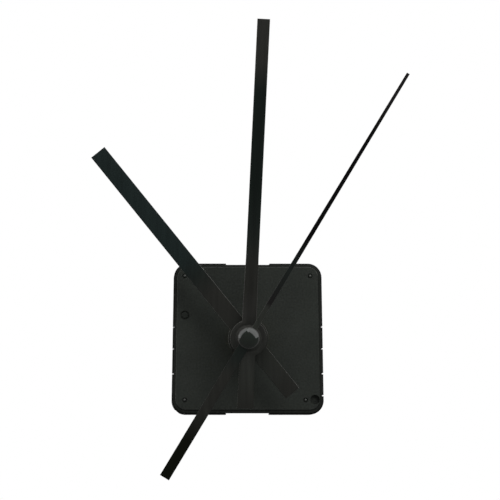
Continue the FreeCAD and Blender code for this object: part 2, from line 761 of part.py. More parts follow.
    seat = sketch_on(body)
    add_circle(seat, "washer_radius + seat_clearance")
    pocket(body, seat, "washer_seat_depth")
    bush_hole = sketch_on(body)
    add_circle(bush_hole, "bush_radius + screw_fit")
    pocket(body, bush_hole, "front_wall")
    dimples = sketch_on(body)
    for place in DIMPLES:
        add_circle(dimples, "dimple_radius", place)
    pocket(body, dimples, "dimple_depth")
    witness = sketch_on(body)
    add_circle(witness, "witness_radius", ("witness_across", "witness_up"))
    pocket(body, witness, "witness_depth")
    vent = sketch_on(body)
    add_circle(vent, "vent_radius", ("vent_across", "vent_up"))
    pocket(body, vent, "vent_depth")


def drill(body, radius, places, depth):
    """Blind holes in posts, from a depth to the back."""
    sketch = sketch_on(body, depth)
    for place in places:
        add_circle(sketch, radius, place)
    pocket(body, sketch, "case_depth")


def make_back_cover():
    """The rear plate over the works, with a locating rim, two side latches and a keyhole to hang by."""
    body = new_body("back_cover")
    half_height = SIZES["case_height"] / 2
    low_edge = f"({DIVIDER_TOP} + cover_gap)"
    low_half = half_width(low_edge)
    plate = sketch_on(body, SEAM)
    add_polygon(plate, (
        (f"-{low_half}", low_edge), (low_half, low_edge), ("case_top_width / 2", HALF_HEIGHT),
        ("-case_top_width / 2", HALF_HEIGHT),
    ))
    pad(body, plate, "cover_thickness")
    rim = sketch_on(body, SEAM)
    for inset in ("cover_gap", "(cover_gap + rim_width)"):
        low = f"({DIVIDER_TOP} + {inset})"
        high = f"({ROOM_TOP} - {inset})"
        rim_low = f"({half_width(low)} - side_wall - {inset})"
        rim_high = f"({half_width(high)} - side_wall - {inset})"
        add_polygon(rim, ((f"-{rim_low}", low), (rim_low, low), (rim_high, high), (f"-{rim_high}", high)))
    pad(body, rim, "rim_height", forwards=True)
    rim_top = half_height - SIZES["side_wall"] - SIZES["cover_gap"]
    inner_top = rim_top - SIZES["rim_width"]
    round_edges(body, "corner_radius - side_wall - rim_width", lambda edge: along_shaft(edge) and near(
        edge.CenterOfMass.y, inner_top))
    round_edges(body, "corner_radius - side_wall", lambda edge: along_shaft(edge) and near(
        edge.CenterOfMass.y, rim_top))
    round_edges(body, "corner_radius", lambda edge: along_shaft(edge) and near(
        edge.CenterOfMass.y, half_height))
    bevel_edges(body, "rear_bevel", lambda edge: near(edge.BoundBox.ZMax, -SIZES["case_depth"]))

    latches = sketch_on(body, "case_depth - latch_reach")
    low, high = "(latch_up - latch_width / 2)", "(latch_up + latch_width / 2)"
    for side in ("1", "-1"):
        add_polygon(latches, (
            (f"{side} * ({half_width(low)} - latch_thickness)", low),
            (f"{side} * {half_width(low)}", low),
            (f"{side} * {half_width(high)}", high),
            (f"{side} * ({half_width(high)} - latch_thickness)", high),
        ))
    pad(body, latches, "latch_reach - rear_bevel")
    windows = sketch_on(body, LATCH_WINDOW_FRONT)
    low, high = "(latch_up - latch_window_width / 2)", "(latch_up + latch_window_width / 2)"
    for side in ("1", "-1"):
        add_polygon(windows, side_box(side, low, high, "side_wall"))
    pocket(body, windows, "latch_window_height")
    cut_latch_grooves(body, SEAM, "cover_thickness")
    cut_grip(body, "case_depth", "1")

    before_plate = f"{SEAM} - cut_overrun"
    slot_half, slot_end = "keyhole_slot_width / 2", "(keyhole_up + keyhole_slot_length)"
    drill(body, "knob_radius + seat_clearance", (SETTING,), before_plate)
    drill(body, "keyhole_radius", (("0", "keyhole_up"),), before_plate)
    slot = sketch_on(body, before_plate)
    add_polygon(slot, rectangle(f"-{slot_half}", slot_half, "keyhole_up", slot_end))
    pocket(body, slot, "case_depth")
    drill(body, slot_half, (("0", slot_end),), before_plate)


def make_clamp():
    """The threaded bush with its washer and nut."""
    bush = new_body("centre_bush")
    bore = "(hour_pipe_radius + running_clearance)"
    turned(bush, (
        (bore, "-bush_reach"), ("bush_radius - bush_tip_bevel", "-bush_reach"),
        ("bush_radius", "-bush_reach + bush_tip_bevel"), ("bush_radius", "front_wall"),
        ("flange_radius", "front_wall"), ("flange_radius", FLANGE_BACK), (bore, FLANGE_BACK),
    ))
    nut_back = "washer_seat_depth - washer_thickness"
    washer = new_body("flat_washer")
    turned(washer, tube_profile("bush_radius + screw_fit", "washer_radius", nut_back, "washer_seat_depth"))
    nut = new_body("hex_nut")
    corner = "nut_across_flats / 2 / cos(30)"
    hexagon = sketch_on(nut, nut_back)
    turns = range(30, 390, 60)
    add_polygon(hexagon, [(f"{corner} * cos({turn})", f"{corner} * sin({turn})") for turn in turns])
    pad(nut, hexagon, "nut_thickness", forwards=True)
    bore_sketch = sketch_on(nut, nut_back)
    add_circle(bore_sketch, "bush_radius + screw_fit")
    pocket(nut, bore_sketch, "nut_thickness", forwards=True)


def plate_outline(sketch):
    """The outline of both bridges: a margin round the pillars, the motor and the third wheel's pivot."""
    (left, foot), (right, _), (far_right, far_up), (head, head_up) = PILLARS
    margin = "bridge_margin"
    add_polygon(sketch, (
        (f"{left} - {margin}", f"{foot} - {margin}"), (f"{right} + {margin}", f"{foot} - {margin}"),
        (f"{far_right} + {margin}", f"{SETTING[1]}"), (f"{far_right} + {margin}", f"{far_up} + {margin}"),
        (f"{ROTOR[0]} + {margin}", f"{head_up} + {margin}"), (f"{head} - {margin}", f"{head_up} + {margin}"),
        (f"{THIRD[0]} - {margin}", f"{THIRD[1]} + {margin}"),
        (f"{THIRD[0]} - {margin}", f"{THIRD[1]} - {margin}"),
    ))


def make_bridges():
    """The two plates that hold the pivots."""
    bridge = new_body("train_bridge")
    outline = sketch_on(bridge, BRIDGE_FRONT)
    plate_outline(outline)
    pad(bridge, outline, "bridge_thickness")
    pillars = sketch_on(bridge, BRIDGE_BACK)
    for place in PILLARS:
        add_circle(pillars, "pillar_radius", place)
    pad(bridge, pillars, f"{REAR_FRONT} - {BRIDGE_BACK}")
    rear_pins = sketch_on(bridge, REAR_FRONT)
    front_pins = sketch_on(bridge, BRIDGE_FRONT)
    for place in PILLARS:
        add_circle(rear_pins, "pillar_pin_radius", place)
        add_circle(front_pins, "pillar_pin_radius", place)
    pad(bridge, rear_pins, "bridge_thickness")
    pad(bridge, front_pins, "pillar_pin_length", forwards=True)
    drill_plate(bridge, BRIDGE_FRONT, (
        ("arbor_radius + running_clearance", CENTRE), ("third_passage", THIRD),
        ("pivot_radius + running_clearance", INTERMEDIATE), ("pivot_radius + running_clearance", ROTOR),
        ("stem_radius + running_clearance", SETTING),
    ))
    rear = new_body("rear_bridge")
    outline = sketch_on(rear, REAR_FRONT)
    plate_outline(outline)
    pad(rear, outline, "bridge_thickness")
    pivot_hole = "pivot_radius + running_clearance"
    drill_plate(rear, REAR_FRONT, [("pillar_pin_radius + screw_fit", place) for place in PILLARS] + [
        (pivot_hole, CENTRE), (pivot_hole, THIRD), (pivot_hole, INTERMEDIATE), (pivot_hole, ROTOR),
        ("stem_radius + running_clearance", SETTING),
    ])


def drill_plate(body, front, holes):
    """Through holes of one bridge."""
    sketch = sketch_on(body, front)
    for radius, place in holes:
        add_circle(sketch, radius, place)
    pocket(body, sketch, "bridge_thickness")


def make_motor():
    """The stepping motor: iron circuit, coil and the two screws that hold it."""
    core = new_body("coil_core")
    (left, up), (right, _) = LEFT_SCREW, RIGHT_SCREW
    pad_half, bar_half = "stator_bar / 2", "core_width / 2"
    outline = sketch_on(core, CORE_FRONT)
    add_polygon(outline, (
        (f"{left} - {pad_half}", f"{up} - {pad_half}"), (f"{left} + {pad_half}", f"{up} - {pad_half}"),
        (f"{left} + {pad_half}", f"{up} - {bar_half}"), (f"{right} - {pad_half}", f"{up} - {bar_half}"),
        (f"{right} - {pad_half}", f"{up} - {pad_half}"), (f"{right} + {pad_half}", f"{up} - {pad_half}"),
        (f"{right} + {pad_half}", f"{up} + {pad_half}"), (f"{right} - {pad_half}", f"{up} + {pad_half}"),
        (f"{right} - {pad_half}", f"{up} + {bar_half}"), (f"{left} + {pad_half}", f"{up} + {bar_half}"),
        (f"{left} + {pad_half}", f"{up} + {pad_half}"), (f"{left} - {pad_half}", f"{up} + {pad_half}"),
    ))
    pad(core, outline, "iron_thickness")
    holes = sketch_on(core, CORE_FRONT)
    for place in (LEFT_SCREW, RIGHT_SCREW):
        add_circle(holes, "screw_radius + screw_fit", place)
    pocket(core, holes, "iron_thickness")

    stator = new_body("stator")
    outline = sketch_on(stator, CORE_BACK)
    low, high = f"({ROTOR[1]} - {pad_half})", f"({ROTOR[1]} + {pad_half})"
    add_polygon(outline, (
        (f"{left} - {pad_half}", low), (f"{right} + {pad_half}", low),
        (f"{right} + {pad_half}", f"{up} + {pad_half}"),
        (f"{right} - {pad_half}", f"{up} + {pad_half}"), (f"{right} - {pad_half}", high),
        (f"{left} + {pad_half}", high), (f"{left} + {pad_half}", f"{up} + {pad_half}"),
        (f"{left} - {pad_half}", f"{up} + {pad_half}"),
    ))
    pad(stator, outline, "iron_thickness")
    bulge = sketch_on(stator, CORE_BACK)
    add_circle(bulge, "stator_bulge", ROTOR)
    pad(stator, bulge, "iron_thickness")
    bore = "(rotor_magnet_radius + air_gap)"
    holes = sketch_on(stator, CORE_BACK)
    add_circle(holes, bore, ROTOR)
    for place in (LEFT_SCREW, RIGHT_SCREW):
        add_circle(holes, "screw_radius + screw_fit", place)
    pocket(stator, holes, "iron_thickness")
    notches = sketch_on(stator, CORE_BACK)
    for direction in ("notch_direction", "(notch_direction + 180)"):
        add_circle(notches, "stator_notch", away(bore, direction, ROTOR))
    pocket(stator, notches, "iron_thickness")

    coil_place = (ROTOR[0], "coil_up")
    inner = "(core_width / 2 + running_clearance)"
    outer = f"({inner} + tube_wall)"
    end, flange = "bobbin_length / 2", "bobbin_flange_thickness"
    bobbin = new_body("coil_bobbin", coil_place, CORE_MIDDLE)
    turned(bobbin, (
        (f"-{end}", inner), (f"-{end}", "bobbin_flange"), (f"-{end} + {flange}", "bobbin_flange"),
        (f"-{end} + {flange}", outer), (f"{end} - {flange}", outer), (f"{end} - {flange}", "bobbin_flange"),
        (end, "bobbin_flange"), (end, inner),
    ), lying=True)
    winding = new_body("coil_winding", coil_place, CORE_MIDDLE)
    side = f"{end} - {flange} - press_fit_gap"
    wound = f"{outer} + press_fit_gap"
    turned(winding, rectangle(f"-({side})", side, wound, "winding_radius"), lying=True)

    screws = []
    for name, place in (("left_screw", LEFT_SCREW), ("right_screw", RIGHT_SCREW)):
        screw = new_body(name, place)
        SUBPARTS.remove(screw)
        head_back = f"({STATOR_BACK} + screw_head_height)"
        turned(screw, (
            ("0", f"{CORE_FRONT} - screw_depth"), ("screw_radius", f"{CORE_FRONT} - screw_depth"),
            ("screw_radius", STATOR_BACK), ("screw_head_radius", STATOR_BACK),
            ("screw_head_radius", head_back), ("0", head_back),
        ))
        slot = sketch_on(screw, f"{STATOR_BACK} + screw_head_height / 2")
        reach, half = "(screw_head_radius + cut_overrun)", "strip_thickness / 2"
        add_polygon(slot, rectangle(f"-{reach}", reach, f"-{half}", half))
        pocket(screw, slot, "screw_head_height")
        screws.append(screw)
    group = document.addObject("Part::Compound", "core_screws")
    group.Label = "core_screws"
    group.Links = screws
    SUBPARTS.append(group)


def make_circuit():
    """The circuit board with its sealed chip and crystal, and the two battery contacts."""
    board = new_body("circuit_board")
    outline = sketch_on(board, BOARD_FRONT)
    add_polygon(outline, rectangle(BOARD_LEFT, BOARD_RIGHT, BOARD_LOW, BOARD_TOP))
    pad(board, outline, "board_thickness")
    left_edge = -SIZES["case_top_width"] / 2 + SIZES["side_wall"] + SIZES["board_gap"]
    top_edge = SIZES["case_height"] / 2 - SIZES["side_wall"] - SIZES["board_gap"]
    round_edges(board, "corner_radius - side_wall", lambda edge: along_shaft(edge) and near(
        edge.CenterOfMass.x, left_edge) and near(edge.CenterOfMass.y, top_edge))

    board_middle = f"({BOARD_LEFT} + board_width / 2)"
    chip = new_body("chip_cover", (board_middle, f"({BOARD_LOW} + chip_up)"))
    turned(chip, (
        ("0", BOARD_BACK), ("chip_radius", BOARD_BACK),
        ("chip_crown_radius", f"{BOARD_BACK} + chip_crown_height"), ("0", f"{BOARD_BACK} + chip_height"),
    ))
    crystal_place = (board_middle, f"({BOARD_TOP} - crystal_down)")
    crystal = new_body("quartz_crystal", crystal_place, f"({BOARD_BACK} + crystal_radius)")
    turned(crystal, rectangle("-crystal_length / 2", "crystal_length / 2", "0", "crystal_radius"), lying=True)

    positive = new_body("positive_contact")
    half = "strip_thickness / 2"
    right = f"({BAY_LENGTH} / 2 - {half} - strip_gap / 2)"
    run = f"({DIVIDER_TOP} + {half} + press_fit_gap)"
    strip = sketch_on(positive, STRIP_FRONT)
    add_polygon(strip, (
        (f"{right} - {half}", f"{BAY_UP} - strip_reach"), (f"{right} + {half}", f"{BAY_UP} - strip_reach"),
        (f"{right} + {half}", f"{run} + {half}"), (f"-strip_left + {half}", f"{run} + {half}"),
        (f"-strip_left + {half}", BOARD_LOW), (f"-strip_left - {half}", BOARD_LOW),
        (f"-strip_left - {half}", f"{run} - {half}"), (f"{right} - {half}", f"{run} - {half}"),
    ))
    pad(positive, strip, "strip_height")

    negative = new_body("negative_contact")
    bay_end = f"(-{BAY_LENGTH} / 2 + {half})"
    path = (
        (bay_end, f"({BAY_UP} - strip_reach)"),
        (f"({bay_end} + spring_bow)", f"({BAY_UP} - spring_flat / 2)"),
        (f"({bay_end} + spring_bow)", f"({BAY_UP} + spring_flat / 2)"),
        ("-spring_left", f"({BAY_UP} + spring_flat / 2 + spring_rise)"),
        ("-spring_left", BOARD_LOW),
    )
    outgoing = [(f"{across} + {half}", up) for across, up in path]
    returning = [(f"{across} - {half}", up) for across, up in reversed(path)]
    strip = sketch_on(negative, STRIP_FRONT)
    add_polygon(strip, outgoing + returning)
    pad(negative, strip, "strip_height")


def make_rotor():
    """The magnet and the pinion it is moulded on."""
    magnet = new_body("rotor_magnet", ROTOR)
    turned(magnet, tube_profile(
        "arbor_radius + press_fit_gap", "rotor_magnet_radius",
        f"{STATOR_MIDDLE} - rotor_magnet_height / 2", f"{STATOR_MIDDLE} + rotor_magnet_height / 2"))
    pinion = new_body("rotor_pinion", ROTOR)
    module = MODULES["intermediate"]
    root = root_of(module, "leaf_count", leaves=True)
    front, back = f"({INTERMEDIATE_FRONT} - leaf_overhang)", f"({INTERMEDIATE_BACK} + leaf_overhang)"
    start, stop = f"({BRIDGE_BACK} + end_play)", f"({REAR_FRONT} - end_play)"
    turned(pinion, (
        ("0", f"{start} - pivot_length"), ("pivot_radius", f"{start} - pivot_length"),
        ("pivot_radius", start),
        ("arbor_radius", start), ("arbor_radius", front), (root, front), (root, back), ("arbor_radius", back),
        ("arbor_radius", stop), ("pivot_radius", stop), ("pivot_radius", f"{stop} + pivot_length"),
        ("0", f"{stop} + pivot_length"),
    ))
    add_teeth(pinion, module, "leaf_count", front, "wheel_thickness + 2 * leaf_overhang",
              "(rotor_direction + 180)", leaves=True)


def make_intermediate_wheel():
    """The wheel between the rotor and the seconds wheel, one moulding with its pinion and pivots."""
    body = new_body("intermediate_wheel", INTERMEDIATE)
    wheel_module, leaf_module = MODULES["intermediate"], MODULES["seconds"]
    rim = root_of(wheel_module, "intermediate_teeth")
    root = root_of(leaf_module, "leaf_count", leaves=True)
    front, back = f"({SECONDS_FRONT} - leaf_overhang)", f"({SECONDS_BACK} + leaf_overhang)"
    start, stop = f"({BRIDGE_BACK} + end_play)", f"({REAR_FRONT} - end_play)"
    web_front = f"({INTERMEDIATE_BACK} - web_thickness)"
    turned(body, (
        ("0", f"{start} - pivot_length"), ("pivot_radius", f"{start} - pivot_length"),
        ("pivot_radius", start),
        ("shaft_radius", start), ("shaft_radius", front), (root, front), (root, web_front),
        (f"{rim} - wheel_rim", web_front), (f"{rim} - wheel_rim", INTERMEDIATE_FRONT),
        (rim, INTERMEDIATE_FRONT), (rim, INTERMEDIATE_BACK), ("shaft_radius", INTERMEDIATE_BACK),
        ("shaft_radius", stop), ("pivot_radius", stop), ("pivot_radius", f"{stop} + pivot_length"),
        ("0", f"{stop} + pivot_length"),
    ))
    add_teeth(body, wheel_module, "intermediate_teeth", INTERMEDIATE_FRONT, "wheel_thickness",
              facing_phase("(rotor_direction + 180)", "intermediate_teeth"))
    add_teeth(body, leaf_module, "leaf_count", front, "wheel_thickness + 2 * leaf_overhang",
              "(intermediate_direction + 180)", leaves=True)


def make_wheel(name, place, bore, pair, teeth, front, back, leaf_pair, leaves, leaf_front, leaf_back,
               phase, leaf_phase):
    """A wheel and its pinion in one moulding."""
    body = new_body(name, place)
    rim = root_of(MODULES[pair], teeth)
    root = root_of(MODULES[leaf_pair], leaves, leaves=True)
    first = f"({leaf_front} - leaf_overhang)"
    turned(body, wheel_profile(bore, root, rim, front, back, first))
    add_teeth(body, MODULES[pair], teeth, front, "wheel_thickness", phase)
    leaf_length = f"{leaf_back} - {leaf_front} + 2 * leaf_overhang"
    add_teeth(body, MODULES[leaf_pair], leaves, first, leaf_length, leaf_phase, leaves=True)
    return body


def make_train():
    """The seconds and third wheels with their arbors, and the centre wheel."""
    press_bore = "(arbor_radius + press_fit_gap)"
    make_wheel("seconds_wheel", CENTRE, press_bore, "seconds", "seconds_teeth", SECONDS_FRONT, SECONDS_BACK,
               "third", "leaf_count", THIRD_FRONT, THIRD_BACK,
               facing_phase("(intermediate_direction + 180)", "seconds_teeth"), THIRD_DIRECTION)
    make_wheel("third_wheel", THIRD, press_bore, "third", "third_teeth", THIRD_FRONT, THIRD_BACK,
               "centre", "leaf_count", CENTRE_FRONT, CENTRE_BACK,
               facing_phase(THIRD_DIRECTION, "third_teeth"), f"({THIRD_DIRECTION} + 180)")
    arbor = new_body("seconds_arbor")
    stop = f"({REAR_FRONT} - end_play)"
    tip = f"({SECOND_TUBE_FRONT} + end_play)"
    turned(arbor, (
        ("0", tip), ("arbor_radius", tip), ("arbor_radius", stop), ("pivot_radius", stop),
        ("pivot_radius", f"{stop} + pivot_length"), ("0", f"{stop} + pivot_length"),
    ))
    arbor = new_body("third_arbor", THIRD)
    start = f"({MOTION_BACK} + end_play)"
    turned(arbor, (
        ("0", f"{start} - pivot_length"), ("pivot_radius", f"{start} - pivot_length"),
        ("pivot_radius", start),
        ("arbor_radius", start), ("arbor_radius", stop), ("pivot_radius", stop),
        ("pivot_radius", f"{stop} + pivot_length"), ("0", f"{stop} + pivot_length"),
    ))
    centre = new_body("centre_wheel")
    bore = "(clutch_radius + running_clearance)"
    rim = root_of(MODULES["centre"], "centre_teeth")
    turned(centre, wheel_profile(
        bore, "clutch_shoulder_radius", rim, CENTRE_FRONT, CENTRE_BACK, CENTRE_FRONT))
    add_teeth(centre, MODULES["centre"], "centre_teeth", CENTRE_FRONT, "wheel_thickness",
              facing_phase(f"({THIRD_DIRECTION} + 180)", "centre_teeth"))


def make_motion_work():
    """The minute pipe with its slipping clutch, the motion wheel and the hour wheel."""
    pipe = new_body("minute_pipe")
    bore = "(arbor_radius + running_clearance)"
    root = root_of(MODULES["motion"], "minute_leaves", leaves=True)
    front, back = f"({MOTION_FRONT} - leaf_overhang)", f"({MOTION_BACK} + leaf_overhang)"
    turned(pipe, (
        (bore, MINUTE_PIPE_END), ("minute_seat_radius", MINUTE_PIPE_END),
        ("minute_seat_radius", MINUTE_COLLAR_BACK), ("minute_pipe_radius", MINUTE_COLLAR_BACK),
        ("minute_pipe_radius", front), (root, front), (root, SHOULDER_FRONT),
        ("clutch_shoulder_radius", SHOULDER_FRONT), ("clutch_shoulder_radius", SHOULDER_BACK),
        ("clutch_radius", SHOULDER_BACK), ("clutch_radius", COLLAR_BACK), (bore, COLLAR_BACK),
    ))
    add_teeth(pipe, MODULES["motion"], "minute_leaves", front, f"{back} - {front}", "motion_direction",
              leaves=True)

    spring = new_body("friction_spring")
    inner = "(clutch_radius + press_fit_gap)"
    turned(spring, (
        (inner, f"{SPRING_BACK} - spring_leaf"), ("clutch_shoulder_radius", SPRING_FRONT),
        ("clutch_shoulder_radius", f"{SPRING_FRONT} + spring_leaf"), (inner, SPRING_BACK),
    ))
    collar = new_body("clutch_collar")
    turned(collar, tube_profile(inner, "collar_radius", SPRING_BACK, COLLAR_BACK))

    make_wheel(
        "motion_wheel", MOTION, "(stud_radius + running_clearance)", "motion", "motion_teeth", MOTION_FRONT,
        MOTION_BACK, "hour", "motion_leaves", HOUR_FRONT, HOUR_BACK,
        facing_phase("motion_direction", "motion_teeth"), "(motion_direction + 180)")

    hour = new_body("hour_wheel")
    bore = "(minute_pipe_radius + running_clearance)"
    rim = root_of(MODULES["hour"], "hour_teeth")
    turned(hour, (
        (bore, HOUR_PIPE_END), ("hour_seat_radius", HOUR_PIPE_END), ("hour_seat_radius", HOUR_COLLAR_BACK),
        ("hour_pipe_radius", HOUR_COLLAR_BACK), ("hour_pipe_radius", f"{HOUR_BACK} - web_thickness"),
        (f"{rim} - wheel_rim", f"{HOUR_BACK} - web_thickness"), (f"{rim} - wheel_rim", HOUR_FRONT),
        (rim, HOUR_FRONT), (rim, HOUR_BACK), (bore, HOUR_BACK),
    ))
    add_teeth(hour, MODULES["hour"], "hour_teeth", HOUR_FRONT, "wheel_thickness",
              facing_phase("(motion_direction + 180)", "hour_teeth"))


def make_setting():
    """The stem that turns the hands and its knurled knob in the back cover."""
    stem = new_body("set_stem", SETTING)
    module = MODULES["setting"]
    root = root_of(module, "set_leaves", leaves=True)
    front, back = f"({MOTION_FRONT} - leaf_overhang)", f"({MOTION_BACK} + leaf_overhang)"
    tip = "(front_wall + end_play)"
    socket = f"({KNOB_BACK} + knob_flange_height)"
    turned(stem, (
        ("0", tip), ("stem_radius", tip), ("stem_radius", front), (root, front), (root, back),
        ("stem_radius", back), ("stem_radius", socket), ("0", socket),
    ))
    lead = f"({facing_phase('motion_direction', 'motion_teeth')} - set_direction)"
    phase = f"(set_direction + 180 + 180 / set_leaves - {lead} * motion_teeth / set_leaves)"
    add_teeth(stem, module, "set_leaves", front, f"{back} - {front}", phase, leaves=True)

    knob = new_body("set_knob", SETTING)
    rear = "(case_depth - knob_recess)"
    bore = "(stem_radius + press_fit_gap)"
    turned(knob, (
        (bore, KNOB_FRONT), ("knob_flange_radius", KNOB_FRONT), ("knob_flange_radius", KNOB_BACK),
        ("knob_radius", KNOB_BACK), ("knob_radius", f"{rear} - knob_recess"),
        ("knob_radius - knob_recess", rear), ("knob_dish_radius", rear),
        ("knob_dish_radius", f"{rear} - knob_recess"), ("0", f"{rear} - knob_recess"),
        ("0", socket), (bore, socket),
    ))
    knurl = sketch_on(knob, KNOB_BACK)
    add_polygon(knurl, (
        ("knob_radius - knurl_depth", "0"), ("knob_radius + knurl_depth", "-knurl_half_width"),
        ("knob_radius + knurl_depth", "knurl_half_width"),
    ))
    polar(knob, pocket(knob, knurl, "case_depth"), "knurl_count")


def make_blade(name, turn, outline, hub_radius, hole_radius, blade_back):
    """A flat hand with a round hub, its front edges bevelled."""
    body = new_body(name, turn=turn)
    shape = sketch_on(body, blade_back)
    add_polygon(shape, outline)
    pad(body, shape, "blade_thickness", forwards=True)
    hub = sketch_on(body, blade_back)
    add_circle(hub, hub_radius)
    pad(body, hub, "blade_thickness", forwards=True)
    front = body.Tip.Shape.BoundBox.ZMax
    bevel_edges(body, "blade_bevel", lambda edge: near(edge.BoundBox.ZMin, front))
    hole = sketch_on(body, blade_back)
    add_circle(hole, hole_radius)
    pocket(body, hole, "blade_thickness", forwards=True)
    return body


def make_hand_bush(name, bore, collar, spigot, collar_back, blade_back, blade_front):
    """The turned bush a hand is riveted on."""
    body = new_body(name)
    turned(body, (
        (bore, collar_back), (collar, collar_back), (collar, blade_back), (spigot, blade_back),
        (spigot, f"{blade_front} - rivet"), (bore, f"{blade_front} - rivet"),
    ))


def make_hands():
    """The three hands, each straight and square-ended, with tails."""
    make_blade("hour_hand", SIZES["hour_turn"], rectangle(
        "-hour_width / 2", "hour_width / 2", "-hour_tail", "hour_tip"),
        "hour_hub_radius", "hour_spigot_radius + press_fit_gap", HOUR_BLADE_BACK)
    make_hand_bush("hour_hand_bush", "hour_seat_radius + press_fit_gap", "hour_collar_radius",
                   "hour_spigot_radius", HOUR_COLLAR_BACK, HOUR_BLADE_BACK, HOUR_BLADE_FRONT)
    minute = make_blade("minute_hand", SIZES["minute_turn"], (
        ("-minute_tail_width / 2", "-minute_tail"), ("minute_tail_width / 2", "-minute_tail"),
        ("minute_root_width / 2", "0"), ("minute_width / 2", "minute_root"),
        ("minute_width / 2", "minute_tip"), ("-minute_width / 2", "minute_tip"),
        ("-minute_width / 2", "minute_root"), ("-minute_root_width / 2", "0"),
    ), "minute_hub_radius", "minute_spigot_radius + press_fit_gap", MINUTE_BLADE_BACK)
    ring = sketch_on(minute, MINUTE_BLADE_FRONT)
    add_circle(ring, "minute_ring_radius")
    add_circle(ring, "minute_ring_radius - minute_ring_width")
    pocket(minute, ring, "minute_ring_depth")
    make_hand_bush("minute_hand_bush", "minute_seat_radius + press_fit_gap", "minute_collar_radius",
                   "minute_spigot_radius", MINUTE_COLLAR_BACK, MINUTE_BLADE_BACK, MINUTE_BLADE_FRONT)
    make_blade("second_hand", SIZES["second_turn"], (
        ("-second_tail_width / 2", "-second_tail"), ("second_tail_width / 2", "-second_tail"),
        ("second_tail_width / 2", "0"), ("second_root_width / 2", "0"),
        ("second_tip_width / 2", "second_tip"), ("-second_tip_width / 2", "second_tip"),
        ("-second_root_width / 2", "0"), ("-second_tail_width / 2", "0"),
    ), "second_hub_radius", "second_tube_radius + press_fit_gap", SECOND_BLADE_BACK)
    tube = new_body("second_hand_tube")
    turned(tube, tube_profile(
        "arbor_radius + press_fit_gap", "second_tube_radius", SECOND_TUBE_BACK, SECOND_TUBE_FRONT))
    cap = new_body("second_hand_cap")
    bore = "(second_tube_radius + press_fit_gap)"
    turned(cap, (
        (bore, SECOND_BLADE_FRONT), ("cap_radius", SECOND_BLADE_FRONT), ("cap_radius", CAP_FRONT),
        ("0", CAP_FRONT), ("0", SECOND_TUBE_FRONT), (bore, SECOND_TUBE_FRONT),
    ))
    front = cap.Tip.Shape.BoundBox.ZMax
    round_edges(cap, "cap_round", lambda edge: near(edge.BoundBox.ZMin, front) and len(edge.Vertexes) == 1)


def finish():
    """Check every object, then write each sub-part to its own file."""
    document.recompute()
    for thing in document.Objects:
        if {"Invalid", "Error"} & set(thing.State):
            raise RuntimeError(f"{thing.Label} failed: {thing.State}")
    os.makedirs("parts", exist_ok=True)
    for thing in SUBPARTS:
        if thing.Shape.isNull() or not thing.Shape.isValid():
            raise RuntimeError(f"{thing.Label} has no valid shape")
    for thing in SUBPARTS:
        thing.Shape.exportStep(f"parts/{thing.Label}.step")
        print(f"{thing.Label}: {thing.Shape.Volume:.3f} cubic mm, {len(thing.Shape.Solids)} solid")


make_front_case()
make_back_cover()
make_clamp()
make_bridges()
make_motor()
make_circuit()
make_rotor()
make_intermediate_wheel()
make_train()
make_motion_work()
make_setting()
make_hands()
finish()
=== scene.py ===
"""The looks of a quartz clock movement with its three hands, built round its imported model.

Lengths are in metres, with millimetres written as a number times MM, and only the tables of the hands are in
plain millimetres. +Z is twelve o'clock, and the hand shaft runs along -Y out of the dial, towards the camera,
so a depth is a place along +Y, measured from the dial's face.
"""
import json
import math

import bmesh
import bpy
import numpy as np
from mathutils import Matrix, Vector


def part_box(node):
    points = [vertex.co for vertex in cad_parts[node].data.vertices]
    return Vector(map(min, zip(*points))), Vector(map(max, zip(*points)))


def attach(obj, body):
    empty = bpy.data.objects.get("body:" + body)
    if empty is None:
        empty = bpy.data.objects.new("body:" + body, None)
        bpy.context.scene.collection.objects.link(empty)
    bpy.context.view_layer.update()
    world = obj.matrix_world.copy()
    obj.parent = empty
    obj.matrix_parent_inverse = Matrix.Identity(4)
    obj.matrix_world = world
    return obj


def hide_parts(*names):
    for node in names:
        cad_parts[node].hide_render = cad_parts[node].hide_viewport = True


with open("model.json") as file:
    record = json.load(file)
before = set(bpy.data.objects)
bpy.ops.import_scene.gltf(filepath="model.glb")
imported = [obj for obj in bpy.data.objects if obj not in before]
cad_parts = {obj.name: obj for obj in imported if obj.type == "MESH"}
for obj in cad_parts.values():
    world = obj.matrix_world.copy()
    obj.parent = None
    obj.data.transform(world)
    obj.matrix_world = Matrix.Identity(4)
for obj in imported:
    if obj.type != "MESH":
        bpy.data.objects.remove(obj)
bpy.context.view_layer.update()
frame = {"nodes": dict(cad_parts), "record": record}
MM = 0.001
TURN = 2 * math.pi


# Meshes

WELD = 0.0005 * MM


def skin(name, points, along=False, sharp=35):
    """A skin of quads over a grid of points, smooth but for its edges over a number of degrees.

    Point (i, j) of the grid joins its neighbours i + 1 and j + 1. The last column joins the first, and the
    last row joins the first where along is true.
    """
    rows, columns = points.shape[:2]
    i, j = np.meshgrid(np.arange(rows if along else rows - 1), np.arange(columns), indexing="ij")
    after_i, after_j = (i + 1) % rows, (j + 1) % columns
    corners = (i * columns + j, i * columns + after_j, after_i * columns + after_j, after_i * columns + j)
    faces = np.stack(corners, axis=-1).reshape(-1, 4)
    mesh = bpy.data.meshes.new(name)
    mesh.from_pydata(points.reshape(-1, 3).tolist(), [], faces.tolist())
    finish_mesh(mesh, sharp)
    piece = bpy.data.objects.new(name, mesh)
    bpy.context.scene.collection.objects.link(piece)
    return piece


